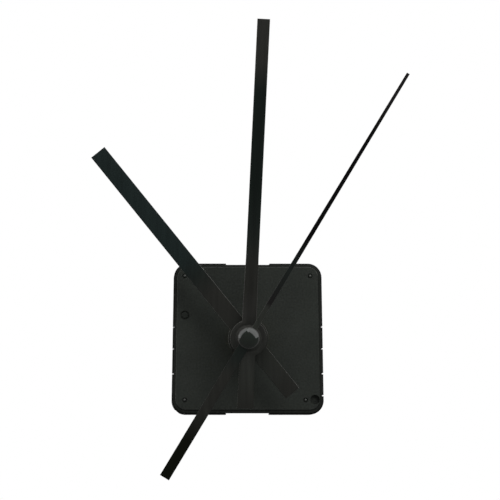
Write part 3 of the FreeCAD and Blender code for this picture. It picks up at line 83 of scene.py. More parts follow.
def finish_mesh(mesh, sharp):
    """Merge a mesh's doubled points, turn its faces outwards and shade it smooth between sharp edges."""
    loose = bmesh.new()
    loose.from_mesh(mesh)
    bmesh.ops.remove_doubles(loose, verts=loose.verts, dist=WELD)
    bmesh.ops.dissolve_degenerate(loose, edges=loose.edges, dist=WELD)
    bmesh.ops.recalc_face_normals(loose, faces=loose.faces)
    loose.to_mesh(mesh)
    loose.free()
    mesh.polygons.foreach_set("use_smooth", np.ones(len(mesh.polygons), bool))
    mesh.set_sharp_from_angle(angle=math.radians(sharp))


def full_turn(segments):
    """The angles of a number of even steps round a full turn."""
    return np.linspace(0, TURN, segments, endpoint=False)


def round_shaft(radius, depth, turn, across=0.0, up=0.0):
    """A grid of points round a line along the hand shaft's direction.

    Point (i, j) is at across + radius_ij * cos(turn_j), depth_i and up + radius_ij * sin(turn_j).
    """
    grid = np.empty((len(depth), len(turn), 3))
    grid[..., 0] = across + radius * np.cos(turn)
    grid[..., 1] = depth[:, None]
    grid[..., 2] = up + radius * np.sin(turn)
    return grid


def turned(profile, segments, across=0.0, up=0.0):
    """The points of a turned piece, from a profile that gives a radius and a depth for each of its rows."""
    radius, depth = np.asarray(profile, float).T
    return round_shaft(radius[:, None], depth, full_turn(segments), across, up)


def rounded(profile, radius, steps=5, most=0.45):
    """A closed profile whose corners are rounded.

    Each corner becomes a quadratic curve between the points a radius before and after it, or at most a share
    of the side away. It leaves along one side and arrives along the next.
    """
    corners = np.asarray(profile, float)
    before, after = np.roll(corners, 1, axis=0), np.roll(corners, -1, axis=0)
    share = np.linspace(0, 1, steps)[:, None]
    rows = []
    for corner, last, following in zip(corners, before, after):
        back, on = last - corner, following - corner
        reach = min(radius, most * np.linalg.norm(back), most * np.linalg.norm(on))
        start = corner + back / np.linalg.norm(back) * reach
        end = corner + on / np.linalg.norm(on) * reach
        rows.append((1 - share) ** 2 * start + 2 * share * (1 - share) * corner + share ** 2 * end)
    return np.concatenate(rows)


# Nodes of materials

def shader(name):
    """A new material with its node tree and principled shader."""
    material = bpy.data.materials.new(name)
    material.use_nodes = True
    return material, material.node_tree, material.node_tree.nodes["Principled BSDF"]


def source(socket):
    """The output that feeds a socket."""
    return socket.links[0].from_socket


def grain(tree, scale, detail=2.0, stretch=(1, 1, 1), turn=(0, 0, 0)):
    """A noise of a number of grains a metre on the object's own coordinates, stretched and turned."""
    place, mapping = tree.nodes.new("ShaderNodeTexCoord"), tree.nodes.new("ShaderNodeMapping")
    mapping.inputs["Rotation"].default_value = turn
    mapping.inputs["Scale"].default_value = stretch
    noise = tree.nodes.new("ShaderNodeTexNoise")
    noise.inputs["Scale"].default_value = scale
    noise.inputs["Detail"].default_value = detail
    tree.links.new(place.outputs["Object"], mapping.inputs["Vector"])
    tree.links.new(mapping.outputs["Vector"], noise.inputs["Vector"])
    return noise.outputs["Fac"]


def computed(tree, operation, *values):
    """The result of a Math node on some values, each of which is a number or another node's output."""
    step = tree.nodes.new("ShaderNodeMath")
    step.operation = operation
    for socket, value in zip(step.inputs, values):
        if isinstance(value, float):
            socket.default_value = value
        else:
            tree.links.new(value, socket)
    return step.outputs[0]


def between(tree, factor, low, high, start=0.0, stop=1.0):
    """A value between two others as a factor goes from the start to the stop of its range."""
    span = tree.nodes.new("ShaderNodeMapRange")
    span.inputs["From Min"].default_value = start
    span.inputs["From Max"].default_value = stop
    span.inputs["To Min"].default_value = low
    span.inputs["To Max"].default_value = high
    tree.links.new(factor, span.inputs["Value"])
    return span.outputs["Result"]


def fading(tree, factor, start=0.0, stop=1.0):
    """1 where a factor is below a range, 0 where it is above it and even in between."""
    return between(tree, factor, 1.0, 0.0, start, stop)


def graded(tree, factor, tones):
    """A colour ramp over a factor. Each tone is a place from 0 to 1 and the colour there."""
    ramp = tree.nodes.new("ShaderNodeValToRGB")
    stops = ramp.color_ramp.elements
    for stop, (at, colour) in zip(stops, (tones[0], tones[-1])):
        stop.position = at
        stop.color = (*colour, 1)
    for at, colour in tones[1:-1]:
        stops.new(at).color = (*colour, 1)
    tree.links.new(factor, ramp.inputs["Fac"])
    return ramp.outputs["Color"]


def blended(tree, factor, low, high, start=0.3, stop=0.7):
    """A colour ramp from one colour to another over part of a factor's range."""
    return graded(tree, factor, ((start, low), (stop, high)))


def tinted(tree, factor, base, colour):
    """A colour that goes from a base to another as a factor goes from 0 to 1."""
    mix = tree.nodes.new("ShaderNodeMix")
    mix.data_type = "RGBA"
    mix.inputs["B"].default_value = (*colour, 1)
    tree.links.new(factor, mix.inputs["Factor"])
    tree.links.new(base, mix.inputs["A"])
    return mix.outputs["Result"]


def multiplied(tree, colour, shade):
    """The product of two colours."""
    mix = tree.nodes.new("ShaderNodeMix")
    mix.data_type = "RGBA"
    mix.blend_type = "MULTIPLY"
    mix.inputs["Factor"].default_value = 1.0
    tree.links.new(colour, mix.inputs["A"])
    tree.links.new(shade, mix.inputs["B"])
    return mix.outputs["Result"]


def mixed(tree, factor, first, second):
    """The first shader where a factor is 0, and the second where it is 1."""
    mix = tree.nodes.new("ShaderNodeMixShader")
    for socket, part in zip(mix.inputs, (factor, first, second)):
        tree.links.new(part, socket)
    return mix.outputs[0]


def raised(tree, factor, height):
    """The normals of a bump of a height in metres."""
    bump = tree.nodes.new("ShaderNodeBump")
    bump.inputs["Strength"].default_value = 1.0
    bump.inputs["Distance"].default_value = height
    tree.links.new(factor, bump.inputs["Height"])
    return bump.outputs["Normal"]


def along_shaft(tree, coordinates):
    """How far the object's own coordinates or normals go along +Y."""
    place, apart = tree.nodes.new("ShaderNodeTexCoord"), tree.nodes.new("ShaderNodeSeparateXYZ")
    tree.links.new(place.outputs[coordinates], apart.inputs["Vector"])
    return apart.outputs["Y"]


def facing_front(tree):
    """How far a surface faces along the shaft: 1 for front and rear faces, 0 for the walls round them."""
    return computed(tree, "ABSOLUTE", along_shaft(tree, "Normal"))


# The side whose edges get a painted highlight: up and a little to the left, where the light falls from.
LIT_SIDE, LIT_SIDE_RANGE = (-0.34, 0.0, 0.94), (-0.25, 0.0)


def facing_lit_side(tree):
    """1 for a surface that faces the lit side, up and a little to the left, whose edges get a painted
    highlight,
    and 0 for the opposite side: the dot product of the object's normal and that direction, over a narrow
    range."""
    place, along = tree.nodes.new("ShaderNodeTexCoord"), tree.nodes.new("ShaderNodeVectorMath")
    along.operation = "DOT_PRODUCT"
    along.inputs[1].default_value = LIT_SIDE
    tree.links.new(place.outputs["Normal"], along.inputs[0])
    return between(tree, along.outputs["Value"], 0.0, 1.0, *LIT_SIDE_RANGE)


# Kinds of finish. Their unevenness is given in grains a metre.

FINE, SPECKS, CLOUDS = 3800, 1500, 90
MARKS, WEAR, STREAKS, PEEL, POLISH = 2600, 300, 900, 2400, 500


def moulded(name, dark, light, rough, specular, height=0.012 * MM):
    """Spark-eroded moulded plastic: fine grains of a height, paler specks and broad faint clouds."""
    material, tree, body = shader(name)
    fine, specks, clouds = grain(tree, FINE, detail=3.0), grain(tree, SPECKS), grain(tree, CLOUDS)
    speck_share, clouding, ramp_span, smoother, rougher = 0.55, (0.13, 0.32), (0.36, 0.66), 0.12, 0.10
    paleness = computed(tree, "MULTIPLY_ADD", specks, speck_share, between(tree, clouds, *clouding))
    tree.links.new(blended(tree, paleness, dark, light, *ramp_span), body.inputs["Base Color"])
    tree.links.new(between(tree, fine, rough - smoother, rough + rougher), body.inputs["Roughness"])
    tree.links.new(raised(tree, fine, height), body.inputs["Normal"])
    body.inputs["Specular IOR Level"].default_value = specular
    return material


def case_moulding(name):
    """The case's plastic: eroded and dusty all over, with painted shade round the front rim and half as much
    on the ledge between the rim and the front plate, and a painted highlight along the plate's upper and left
    edges.

    Rim, ledge and edge ranges are of depths, and wall and plate ranges of how far a surface faces the front.
    """
    material = moulded(name, (0.0076, 0.0085, 0.0075), (0.0134, 0.0150, 0.0132), 0.60, 0.02)
    tree = material.node_tree
    base = tree.nodes["Principled BSDF"].inputs["Base Color"]
    rim_ends, wall_ends = (1.3 * MM, 2.6 * MM), (0.85, 0.998)
    ledge_starts, ledge_ends, ledge_share = (0.10 * MM, 0.20 * MM), (0.29 * MM, 0.33 * MM), 0.5
    edge_ends, plate_ends = (0.11 * MM, 0.15 * MM), (0.85, 0.95)
    facing, depth = facing_front(tree), along_shaft(tree, "Object")
    # Painted shade: the walls round the front rim, and half as much the recessed ledge, go towards near
    # black.
    rim = computed(tree, "MULTIPLY", fading(tree, depth, *rim_ends), fading(tree, facing, *wall_ends))
    ledge = computed(tree, "MULTIPLY", between(tree, depth, 0.0, ledge_share, *ledge_starts),
                     fading(tree, depth, *ledge_ends))
    # Painted highlight: the plate's edges that face the lit side are given a pale colour.
    edge = computed(tree, "MULTIPLY", fading(tree, facing, *plate_ends), fading(tree, depth, *edge_ends))
    edge_highlight = computed(tree, "MULTIPLY", edge, facing_lit_side(tree))
    shade = tinted(tree, ledge, source(base), PAINTED_SHADE_BLACK)
    shade = tinted(tree, rim, shade, PAINTED_SHADE_BLACK)
    tree.links.new(tinted(tree, edge_highlight, shade, PLATE_EDGE_HIGHLIGHT), base)
    return material


def metal(name, colour, rough, grains=MARKS, stretch=(1, 1, 1)):
    """Turned, stamped or plated metal with fine marks and patches of wear."""
    material, tree, body = shader(name)
    marks, patches = grain(tree, grains, detail=3.0, stretch=stretch), grain(tree, WEAR)
    dimming, mark_height, smoother, rougher = 0.82, 0.002 * MM, 0.08, 0.10
    dim = tuple(part * dimming for part in colour)
    tree.links.new(blended(tree, patches, dim, colour), body.inputs["Base Color"])
    tree.links.new(between(tree, marks, rough - smoother, rough + rougher), body.inputs["Roughness"])
    tree.links.new(raised(tree, marks, mark_height), body.inputs["Normal"])
    body.inputs["Metallic"].default_value = 1.0
    return material


def lacquered(name, turn_degrees, tones, edge_highlight):
    """Satin lacquer on rolled sheet, with light, shade and reflection painted into its tone along the hand,
    and a painted highlight on the rolled edges that face up and a little to the left.

    Each tone is a place in millimetres along the hand, less than none on its tail, and the colour there.
    """
    material, tree, body = shader(name)
    drawn_out, dim, bright = (1, 1, 0.05), (0.85, 0.85, 0.85), (1.15, 1.15, 1.15)
    peel_height, roughness, specular = 0.003 * MM, (0.32, 0.44), 0.03
    lie = (0, math.radians(turn_degrees), 0)
    place, along = tree.nodes.new("ShaderNodeTexCoord"), tree.nodes.new("ShaderNodeMapping")
    apart = tree.nodes.new("ShaderNodeSeparateXYZ")
    along.inputs["Rotation"].default_value = lie
    tree.links.new(place.outputs["Object"], along.inputs["Vector"])
    tree.links.new(along.outputs["Vector"], apart.inputs["Vector"])
    # Painted light and shade: the tone along the hand paints its light, shade and reflection into the colour.
    first, last = tones[0][0], tones[-1][0]
    reach = between(tree, apart.outputs["Z"], 0.0, 1.0, first * MM, last * MM)
    painted_light_tone = graded(tree, reach, [((at - first) / (last - first), colour) for at, colour in tones])
    streaks = grain(tree, STREAKS, detail=3.0, stretch=drawn_out, turn=lie)
    streaked = blended(tree, streaks, dim, bright)
    # Painted highlight: the rolled edges that face the lit side are given a pale colour.
    edge = computed(tree, "MULTIPLY", fading(tree, facing_front(tree)), facing_lit_side(tree))
    tree.links.new(tinted(tree, edge, multiplied(tree, painted_light_tone, streaked), edge_highlight), body.inputs["Base Color"])
    peel = grain(tree, PEEL)
    tree.links.new(between(tree, peel, *roughness), body.inputs["Roughness"])
    tree.links.new(raised(tree, peel, peel_height), body.inputs["Normal"])
    body.inputs["Specular IOR Level"].default_value = specular
    return material


def glossy(name, colour, rough, specular):
    """Polished plastic or poured resin with faint unevenness."""
    material, tree, body = shader(name)
    uneven, brightening, smoother, rougher = grain(tree, POLISH), 1.25, 0.8, 1.2
    lighter = tuple(part * brightening for part in colour)
    tree.links.new(blended(tree, uneven, colour, lighter), body.inputs["Base Color"])
    tree.links.new(between(tree, uneven, rough * smoother, rough * rougher), body.inputs["Roughness"])
    body.inputs["Specular IOR Level"].default_value = specular
    return material


def cap_finish(name):
    """Polished black, but satin where the cap's rim is steep, and paler there as a painted sheen."""
    material = glossy(name, (0.0022, 0.0034, 0.0023), 0.06, 0.12)
    tree = material.node_tree
    body = tree.nodes["Principled BSDF"]
    base, rough = body.inputs["Base Color"], body.inputs["Roughness"]
    rim_roughness, rim_range = 0.30, (0.69, 0.73)
    # The rim's paler colour is a painted sheen; its satin roughness is real.
    steep = fading(tree, facing_front(tree), *rim_range)
    tree.links.new(tinted(tree, steep, source(base), RIM_SHEEN_GREY), base)
    tree.links.new(computed(tree, "MULTIPLY_ADD", steep, rim_roughness, source(rough)), rough)
    return material


# The finishes

# Near-black tones for the hands; along each hand they paint its light, shade and reflection.
WARM_BLACK = (0.0066, 0.0067, 0.0059)
PALE_BLACK = (0.0079, 0.0085, 0.0074)
PALEST_BLACK = (0.0094, 0.0094, 0.0086)
SLATE_BLACK = (0.0034, 0.0044, 0.0039)
TEAL_BLACK = (0.0036, 0.0056, 0.0054)
GREEN_BLACK = (0.0017, 0.0027, 0.0022)
OLIVE_BLACK = (0.0010, 0.0012, 0.0004)
BROWN_BLACK = (0.0030, 0.0028, 0.0028)
JET_BLACK = (0.0002, 0.0002, 0.0002)
# Painted edge highlights for the hands, painted shade for the case's rim and ledge, a painted highlight for
# the plate's edges and a painted sheen for the cap's rim.
PAINTED_EDGE_HIGHLIGHT = (0.085, 0.085, 0.080)
FAINT_PAINTED_EDGE_HIGHLIGHT = (0.022, 0.022, 0.020)
PAINTED_SHADE_BLACK = (0.0012, 0.0013, 0.0011)
PLATE_EDGE_HIGHLIGHT = (0.026, 0.027, 0.025)
RIM_SHEEN_GREY = (0.014, 0.014, 0.013)

HOUR_TURN, MINUTE_TURN, SECOND_TURN = 38.97, -2.74, -31.1

rubbed_black = moulded("rubbed_black", (0.020, 0.021, 0.019), (0.032, 0.034, 0.031), 0.45, 0.25)
pin_black = moulded("pin_black", (0.010, 0.011, 0.010), (0.017, 0.018, 0.016), 0.50, 0.14)
core_black = moulded("core_black", (0.0056, 0.0064, 0.0056), (0.0098, 0.0112, 0.0098), 0.60, 0.02)
# Each hand's table paints light, shade and reflection along it as tones of near black.
hour_lacquer = lacquered("hour_lacquer", HOUR_TURN, (
    (-26, WARM_BLACK), (-12, PALE_BLACK), (13, WARM_BLACK), (21, WARM_BLACK), (30, SLATE_BLACK),
    (38, TEAL_BLACK), (88, TEAL_BLACK)), PAINTED_EDGE_HIGHLIGHT)
minute_lacquer = lacquered("minute_lacquer", MINUTE_TURN, (
    (-26, WARM_BLACK), (-14, PALE_BLACK), (9, PALEST_BLACK), (18, WARM_BLACK), (27, WARM_BLACK),
    (38, SLATE_BLACK), (55, GREEN_BLACK), (91, GREEN_BLACK), (102, WARM_BLACK), (117, WARM_BLACK)),
    PAINTED_EDGE_HIGHLIGHT)
second_lacquer = lacquered("second_lacquer", SECOND_TURN, (
    (-60, OLIVE_BLACK), (-44, OLIVE_BLACK), (-31, WARM_BLACK), (-16, WARM_BLACK), (-8, SLATE_BLACK),
    (-3, SLATE_BLACK), (3, PALE_BLACK), (13, PALE_BLACK), (15, BROWN_BLACK), (29, SLATE_BLACK),
    (43, JET_BLACK), (88, JET_BLACK), (101, BROWN_BLACK), (114, BROWN_BLACK)), FAINT_PAINTED_EDGE_HIGHLIGHT)

HAND_FINISHES = {
    "hour_hand": hour_lacquer, "minute_hand": minute_lacquer, "second_hand": second_lacquer,
    "hour_hand_bush": hour_lacquer, "minute_hand_bush": minute_lacquer, "second_hand_tube": second_lacquer,
}
FINISHES = {
    "case_plastic": case_moulding("case_black"),
    "bridge_plastic": moulded("bridge_white", (0.60, 0.60, 0.56), (0.72, 0.72, 0.68), 0.50, 0.4),
    "train_plastic": moulded("train_acetal", (0.62, 0.60, 0.53), (0.74, 0.72, 0.64), 0.38, 0.5, 0.004 * MM),
    "setting_plastic": moulded("setting_grey", (0.24, 0.24, 0.235), (0.33, 0.33, 0.32), 0.42, 0.45,
                               0.005 * MM),
    "bobbin_plastic": moulded("bobbin_black", (0.015, 0.015, 0.016), (0.03, 0.03, 0.032), 0.45, 0.4),
    "board_laminate": moulded("board_green", (0.05, 0.13, 0.04), (0.08, 0.20, 0.06), 0.32, 0.5, 0.003 * MM),
    "bush_brass": metal("bush_brass", (0.72, 0.52, 0.24), 0.30),
    "pipe_brass": metal("pipe_brass", (0.74, 0.56, 0.29), 0.26),
    "magnet_iron": metal("soft_iron", (0.50, 0.51, 0.53), 0.42, 1800, (0.08, 1, 1)),
    "steel": metal("bright_steel", (0.62, 0.63, 0.64), 0.24),
    "crystal_can": metal("crystal_can", (0.72, 0.73, 0.74), 0.16),
    "contact_metal": metal("contact_nickel", (0.68, 0.67, 0.63), 0.22, 2200, (0.1, 1, 1)),
    "magnet": metal("magnet_dark", (0.12, 0.12, 0.13), 0.45),
    "copper_wire": metal("copper_wire", (0.70, 0.27, 0.10), 0.22),
    "sealing_resin": glossy("resin_black", (0.010, 0.010, 0.010), 0.12, 0.5),
    "cap_plastic": cap_finish("cap_gloss"),
}
SLOT_OF = {part["node"]: part["material_slot"] for part in frame["record"]["subparts"]}


def dress(piece, material):
    """Give a whole piece one material."""
    piece.data.materials.clear()
    piece.data.materials.append(material)


def dress_as(piece, node):
    """Give a piece the finish of a node."""
    dress(piece, HAND_FINISHES.get(node) or FINISHES[SLOT_OF[node]])


def stand_for(piece, node, body):
    """Let a finer piece take a node's place, body and finish."""
    dress_as(piece, node)
    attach(piece, body)
    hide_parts(node)


for node, piece in frame["nodes"].items():
    dress_as(piece, node)


# The clamp: threaded bush, washer and nut

THREAD_BORE = 4.03 * MM


def make_bush():
    """A turned bush whose outside is a thread.

    The radius over the threaded length is the crest's less the thread's depth times a triangle wave of
    depth over pitch plus turn over a full turn, which is flattened at crest and root and runs out at the
    flange. At the tip a bevel limits it.
    """
    low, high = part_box("centre_bush")
    flange, tip, back = high.x, low.y, high.y
    crest, bore, face = 4.0 * MM, 2.66 * MM, 1.6 * MM
    pitch, thread_depth, flat = 0.75 * MM, 0.38 * MM, 0.125
    bevel, bore_bevel, rows, segments = 0.4 * MM, 0.2 * MM, 190, 72
    depth, turn = np.linspace(tip, face, rows), full_turn(segments)
    limit = crest - bevel * (1 - np.clip((depth - tip) / bevel, 0, 1))
    wave = (depth[:, None] / pitch + turn / TURN) % 1.0
    ridge = np.clip(np.abs(2 * wave - 1) * (1 + 2 * flat) - flat, 0, 1)
    run_out = np.clip((face - depth) / pitch, 0, 1)[:, None]
    radius = np.minimum(crest - thread_depth * ridge * run_out, limit[:, None])
    rest = turned([(flange, face), (flange, back), (bore, back), (bore, tip + bore_bevel),
                   (bore + bore_bevel, tip)], segments)
    grid = np.concatenate([round_shaft(radius, depth, turn), rest])
    stand_for(skin("threaded_bush", grid, along=True, sharp=30), "centre_bush", "movement")


def make_washer():
    """A stamped washer, a flat ring whose edges are rounded."""
    low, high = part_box("flat_washer")
    profile = ((THREAD_BORE, low.y), (high.x, low.y), (high.x, high.y), (THREAD_BORE, high.y))
    edge, segments = 0.12 * MM, 96
    washer = skin("stamped_washer", turned(rounded(profile, edge), segments), along=True)
    stand_for(washer, "flat_washer", "movement")


def make_nut():
    """A hexagon nut, chamfered on both faces.

    At each turn and depth the radius is the lesser of the hexagon's and a cone's that opens away from each
    face. The hexagon's is the half width over the cosine of the turn from the nearest flat's middle, a
    little less towards the corners.
    """
    low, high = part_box("hex_nut")
    half_width, eased, face_inset, cone_slope = 6.0 * MM, 0.02 * MM, 0.15 * MM, math.radians(30)
    chamfer, rows, segments, sink = 0.6 * MM, 13, 144, 0.25 * MM
    turn = full_turn(segments)
    from_flat = (turn + TURN / 12) % (TURN / 6) - TURN / 12
    hexagon = half_width / np.cos(from_flat) - eased * (1 - np.cos(6 * from_flat))
    depth = np.concatenate([np.linspace(low.y, low.y + chamfer, rows),
                            np.linspace(high.y - chamfer, high.y, rows)])
    from_face = np.minimum(depth - low.y, high.y - depth)
    cone = half_width - face_inset + from_face / math.tan(cone_slope)
    radius = np.minimum(hexagon[None, :], cone[:, None])
    inside = turned([(THREAD_BORE + sink, high.y), (THREAD_BORE, high.y - sink),
                     (THREAD_BORE, low.y + sink), (THREAD_BORE + sink, low.y)], segments)
    grid = np.concatenate([round_shaft(radius, depth, turn), inside])
    stand_for(skin("chamfered_nut", grid, along=True, sharp=20), "hex_nut", "movement")


make_bush()
make_washer()
make_nut()


# The hands

def half_loop(side, hub, tip, tail, inset):
    """One side of a hand's outline from the tip to the tail, all of it an inset inwards.

    Side gives the half width and the height along the hand of each corner, from tip to tail. Where the
    straight sides meet the hub, an arc round the hub goes from the upper crossing to the lower.
    """
    width, height = np.asarray(side, float).T
    width = width - inset
    height = np.clip(height, -tail + inset, tip - inset)
    round_hub, arc_points = hub - inset, 48
    out, low = [], []
    for (w0, h0), (w1, h1) in zip(zip(width, height), zip(width[1:], height[1:])):
        slope = (w1 - w0) / (h1 - h0) if h1 != h0 else 0.0
        start = w0 - slope * h0
        root = math.sqrt(max(round_hub ** 2 * (1 + slope ** 2) - start ** 2, 0))
        for sign, found in ((1, out), (-1, low)):
            at = (-start * slope + sign * root) / (1 + slope ** 2)
            if min(h0, h1) <= at <= max(h0, h1) and at * sign > 0:
                found.append((start + slope * at, at))
    upper, lower = out[0], low[-1]
    arc = np.linspace(math.atan2(upper[1], upper[0]), math.atan2(lower[1], lower[0]), arc_points)
    above = [(w, h) for w, h in zip(width, height) if h > upper[1]]
    below = [(w, h) for w, h in zip(width, height) if h < lower[1]]
    curve = np.stack([round_hub * np.cos(arc), round_hub * np.sin(arc)], axis=1)
    return np.concatenate([above, curve, below])


def blade_loop(side, hub, inset):
    """A hand's whole outline, an inset inwards: one side down to the tail and the mirrored side back up."""
    tip, tail = side[0][1], -side[-1][1]
    right = half_loop(side, hub, tip, tail, inset)
    left = right[::-1] * (-1, 1)
    return np.concatenate([right, left])


def make_blade(name, node, body, side, hub, hole, turn_degrees, ring=()):
    """A hand punched from sheet, with a rolled front edge, a hole for its bush and, where a ring is given,
    that profile of radii and depths pressed into its hub. All its sizes are in millimetres.

    The outline is repeated at insets and depths that follow a quarter circle: the inset is the edge's radius
    times one less the cosine, and the depth its radius times one less the sine. The faces run straight from
    the outline to the hole's point in the same direction from the shaft.
    """
    low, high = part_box(node)
    front, back = low.y, high.y
    edge, burr, edge_points = 0.14 * MM, 0.03 * MM, 6
    curve = np.linspace(0, math.pi / 2, edge_points)
    levels = [(burr, back), (0.0, back - burr)]
    levels += [(edge * (1 - math.cos(a)), front + edge * (1 - math.sin(a))) for a in curve]
    side_m = [(w * MM, h * MM) for w, h in side]
    loops = [blade_loop(side_m, hub * MM, inset) for inset, _ in levels]
    angle = np.arctan2(loops[-1][:, 1], loops[-1][:, 0])
    rays = np.stack([np.cos(angle), np.sin(angle)], axis=1)
    circles = [(radius * MM, front + sunk * MM) for radius, sunk in ring]
    circles += [(hole * MM, front), (hole * MM, back)]
    loops += [radius * rays for radius, _ in circles]
    depths = [depth for _, depth in levels + circles]
    turn = math.radians(turn_degrees)
    grid = np.empty((len(loops), len(loops[0]), 3))
    for row, (loop, depth) in enumerate(zip(loops, depths)):
        grid[row, :, 0] = loop[:, 0] * math.cos(turn) - loop[:, 1] * math.sin(turn)
        grid[row, :, 1] = depth
        grid[row, :, 2] = loop[:, 0] * math.sin(turn) + loop[:, 1] * math.cos(turn)
    stand_for(skin(name, grid, along=True, sharp=50), node, body)


make_blade("hour_blade", "hour_hand", "hour", hub=7.4, hole=3.12, turn_degrees=HOUR_TURN,
           side=((3.15, 88.4), (3.15, 40.0), (3.15, -26.0)))
make_blade("minute_blade", "minute_hand", "minute", hub=6.75, hole=2.22, turn_degrees=MINUTE_TURN,
           side=((2.35, 118.2), (2.35, 30.0), (2.70, 0.0), (3.05, -25.9)),
           ring=((5.4, 0.0), (5.25, 0.08), (4.75, 0.08), (4.6, 0.0)))
make_blade("second_blade", "second_hand", "seconds", hub=3.3, hole=0.92, turn_degrees=SECOND_TURN,
           side=((0.60, 114.2), (0.975, 0.0001), (1.925, 0.0), (1.925, -59.9)))


# The cap over the shaft

def make_cap():
    """A glossy cap: a short wall, a steep satin rim and a dome that is part of a sphere.

    The dome's sphere has the radius of the dome's edge over the sine of the slope there, and each point's
    depth behind the crown is that radius times one less the cosine of its slope.
    """
    low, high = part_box("second_hand_cap")
    outer, front, back = high.x, low.y, high.y
    bore, socket, step, rim = 0.92 * MM, 0.85 * MM, 0.05 * MM, 0.34 * MM
    wall_drop, rim_drop = 0.40 * MM, 0.32 * MM
    steepest, dome_points, segments = math.radians(40), 33, 96
    dome_edge = outer - rim
    slope = np.linspace(steepest, 0, dome_points)
    sphere = dome_edge / math.sin(steepest)
    dome = np.stack([sphere * np.sin(slope), front + sphere * (1 - np.cos(slope))], axis=1)
    brow = dome[0, 1]
    wall = np.array([(0.0, back - socket), (bore, back - socket), (bore, back), (outer - step, back),
                     (outer, back - step), (outer, brow + wall_drop), (outer - step, brow + rim_drop)])
    cap = skin("domed_cap", turned(np.concatenate([wall, dome]), segments), sharp=8)
    stand_for(cap, "second_hand_cap", "seconds")


make_cap()


# Small moulded details of the case

SUNK_FOOT = 0.05 * MM


def add_to_case(piece, material):
    """Let a small moulded piece ride with the case."""
    dress(piece, material)
    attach(piece, "movement")


def make_pip(name, across, up):
    """A low dome left by a moulding pin: its height is a parabola of the distance from its middle, and its
    foot is sunk in the floor of the dimple round it."""
    radius, floor_depth, rise, dome_points, segments = 0.62 * MM, 0.40 * MM, 0.52 * MM, 9, 24
    reach = np.linspace(0, 1, dome_points)
    dome = np.stack([radius * reach, floor_depth - rise * (1 - reach ** 2)], axis=1)
    foot = [(radius, floor_depth + SUNK_FOOT), (0.0, floor_depth + SUNK_FOOT)]
    add_to_case(skin(name, turned(np.concatenate([dome, foot]), segments, across, up)), pin_black)


def make_witness_core(name, across, up):
    """The flat core of the round recess at the left, almost level with the plate: a disc whose edge is a
    quarter circle, which leaves the recess showing as a ring round it."""
    radius, edge, top, floor_depth = 1.25 * MM, 0.29 * MM, 0.06 * MM, 0.35 * MM
    edge_points, segments = 6, 48
    curve = np.linspace(0, math.pi / 2, edge_points)
    brow = np.stack([radius - edge + edge * np.sin(curve), top + edge * (1 - np.cos(curve))], axis=1)
    foot = [(radius, floor_depth + SUNK_FOOT), (0.0, floor_depth + SUNK_FOOT)]
    profile = np.concatenate([[(0.0, top)], brow, foot])
    add_to_case(skin(name, turned(profile, segments, across, up)), core_black)


MARK_SEGMENTS = 64
MARK_SECTION = ((0, 1), (0.7, 1), (0.86, 1), (0.95, 0.85), (1, 0.5), (1, -0.6), (0, -0.6))


def make_mark(name, across, half_length, half_arc, height):
    """A raised bar on the floor of the battery bay, a rounded rectangle bent round the bay.

    The outline is a superellipse: along it the length is the half length times a low power of the cosine,
    and the arc the half arc times the same power of the sine, a little below the bay's middle. The section
    gives each row's share of the outline and of the bar's height. Each point's depth and height follow from
    its arc round the bay's line, at the bay's radius less its own height.
    """
    bay_depth, bay_up, bay_radius, down = 8.7 * MM, -19.9 * MM, 7.35 * MM, math.radians(20)
    turn, power = full_turn(MARK_SEGMENTS), 0.25
    length = np.sign(np.cos(turn)) * np.abs(np.cos(turn)) ** power
    arc = np.sign(np.sin(turn)) * np.abs(np.sin(turn)) ** power
    share, rise = np.array(MARK_SECTION).T
    angle = share[:, None] * half_arc * arc / bay_radius - down
    reach = bay_radius - height * rise[:, None]
    grid = np.empty((len(share), len(turn), 3))
    grid[..., 0] = across + share[:, None] * half_length * length
    grid[..., 1] = bay_depth - reach * np.cos(angle)
    grid[..., 2] = bay_up + reach * np.sin(angle)
    add_to_case(skin(name, grid, sharp=50), rubbed_black)


PIN_PLACES = {"upper_left": (-23.4 * MM, 23.4 * MM), "upper_right": (23.1 * MM, 23.4 * MM),
              "lower_left": (-23.4 * MM, -22.6 * MM), "lower_right": (21.4 * MM, -22.6 * MM)}
CORE_PLACE = (-23.3 * MM, 8.8 * MM)
PLUS_ACROSS, MINUS_ACROSS = 18.5 * MM, -17.5 * MM
BAR_LONG, BAR_SHORT, BAR_HEIGHT, CROSSING_HEIGHT = 1.9 * MM, 0.42 * MM, 0.24 * MM, 0.22 * MM

for corner, place in PIN_PLACES.items():
    make_pip("pin_mark_" + corner, *place)
make_witness_core("witness_core", *CORE_PLACE)
make_mark("plus_mark_level", PLUS_ACROSS, BAR_LONG, BAR_SHORT, BAR_HEIGHT)
make_mark("plus_mark_upright", PLUS_ACROSS, BAR_SHORT, BAR_LONG, CROSSING_HEIGHT)
make_mark("minus_mark", MINUS_ACROSS, BAR_LONG, BAR_SHORT, BAR_HEIGHT)


# The coil

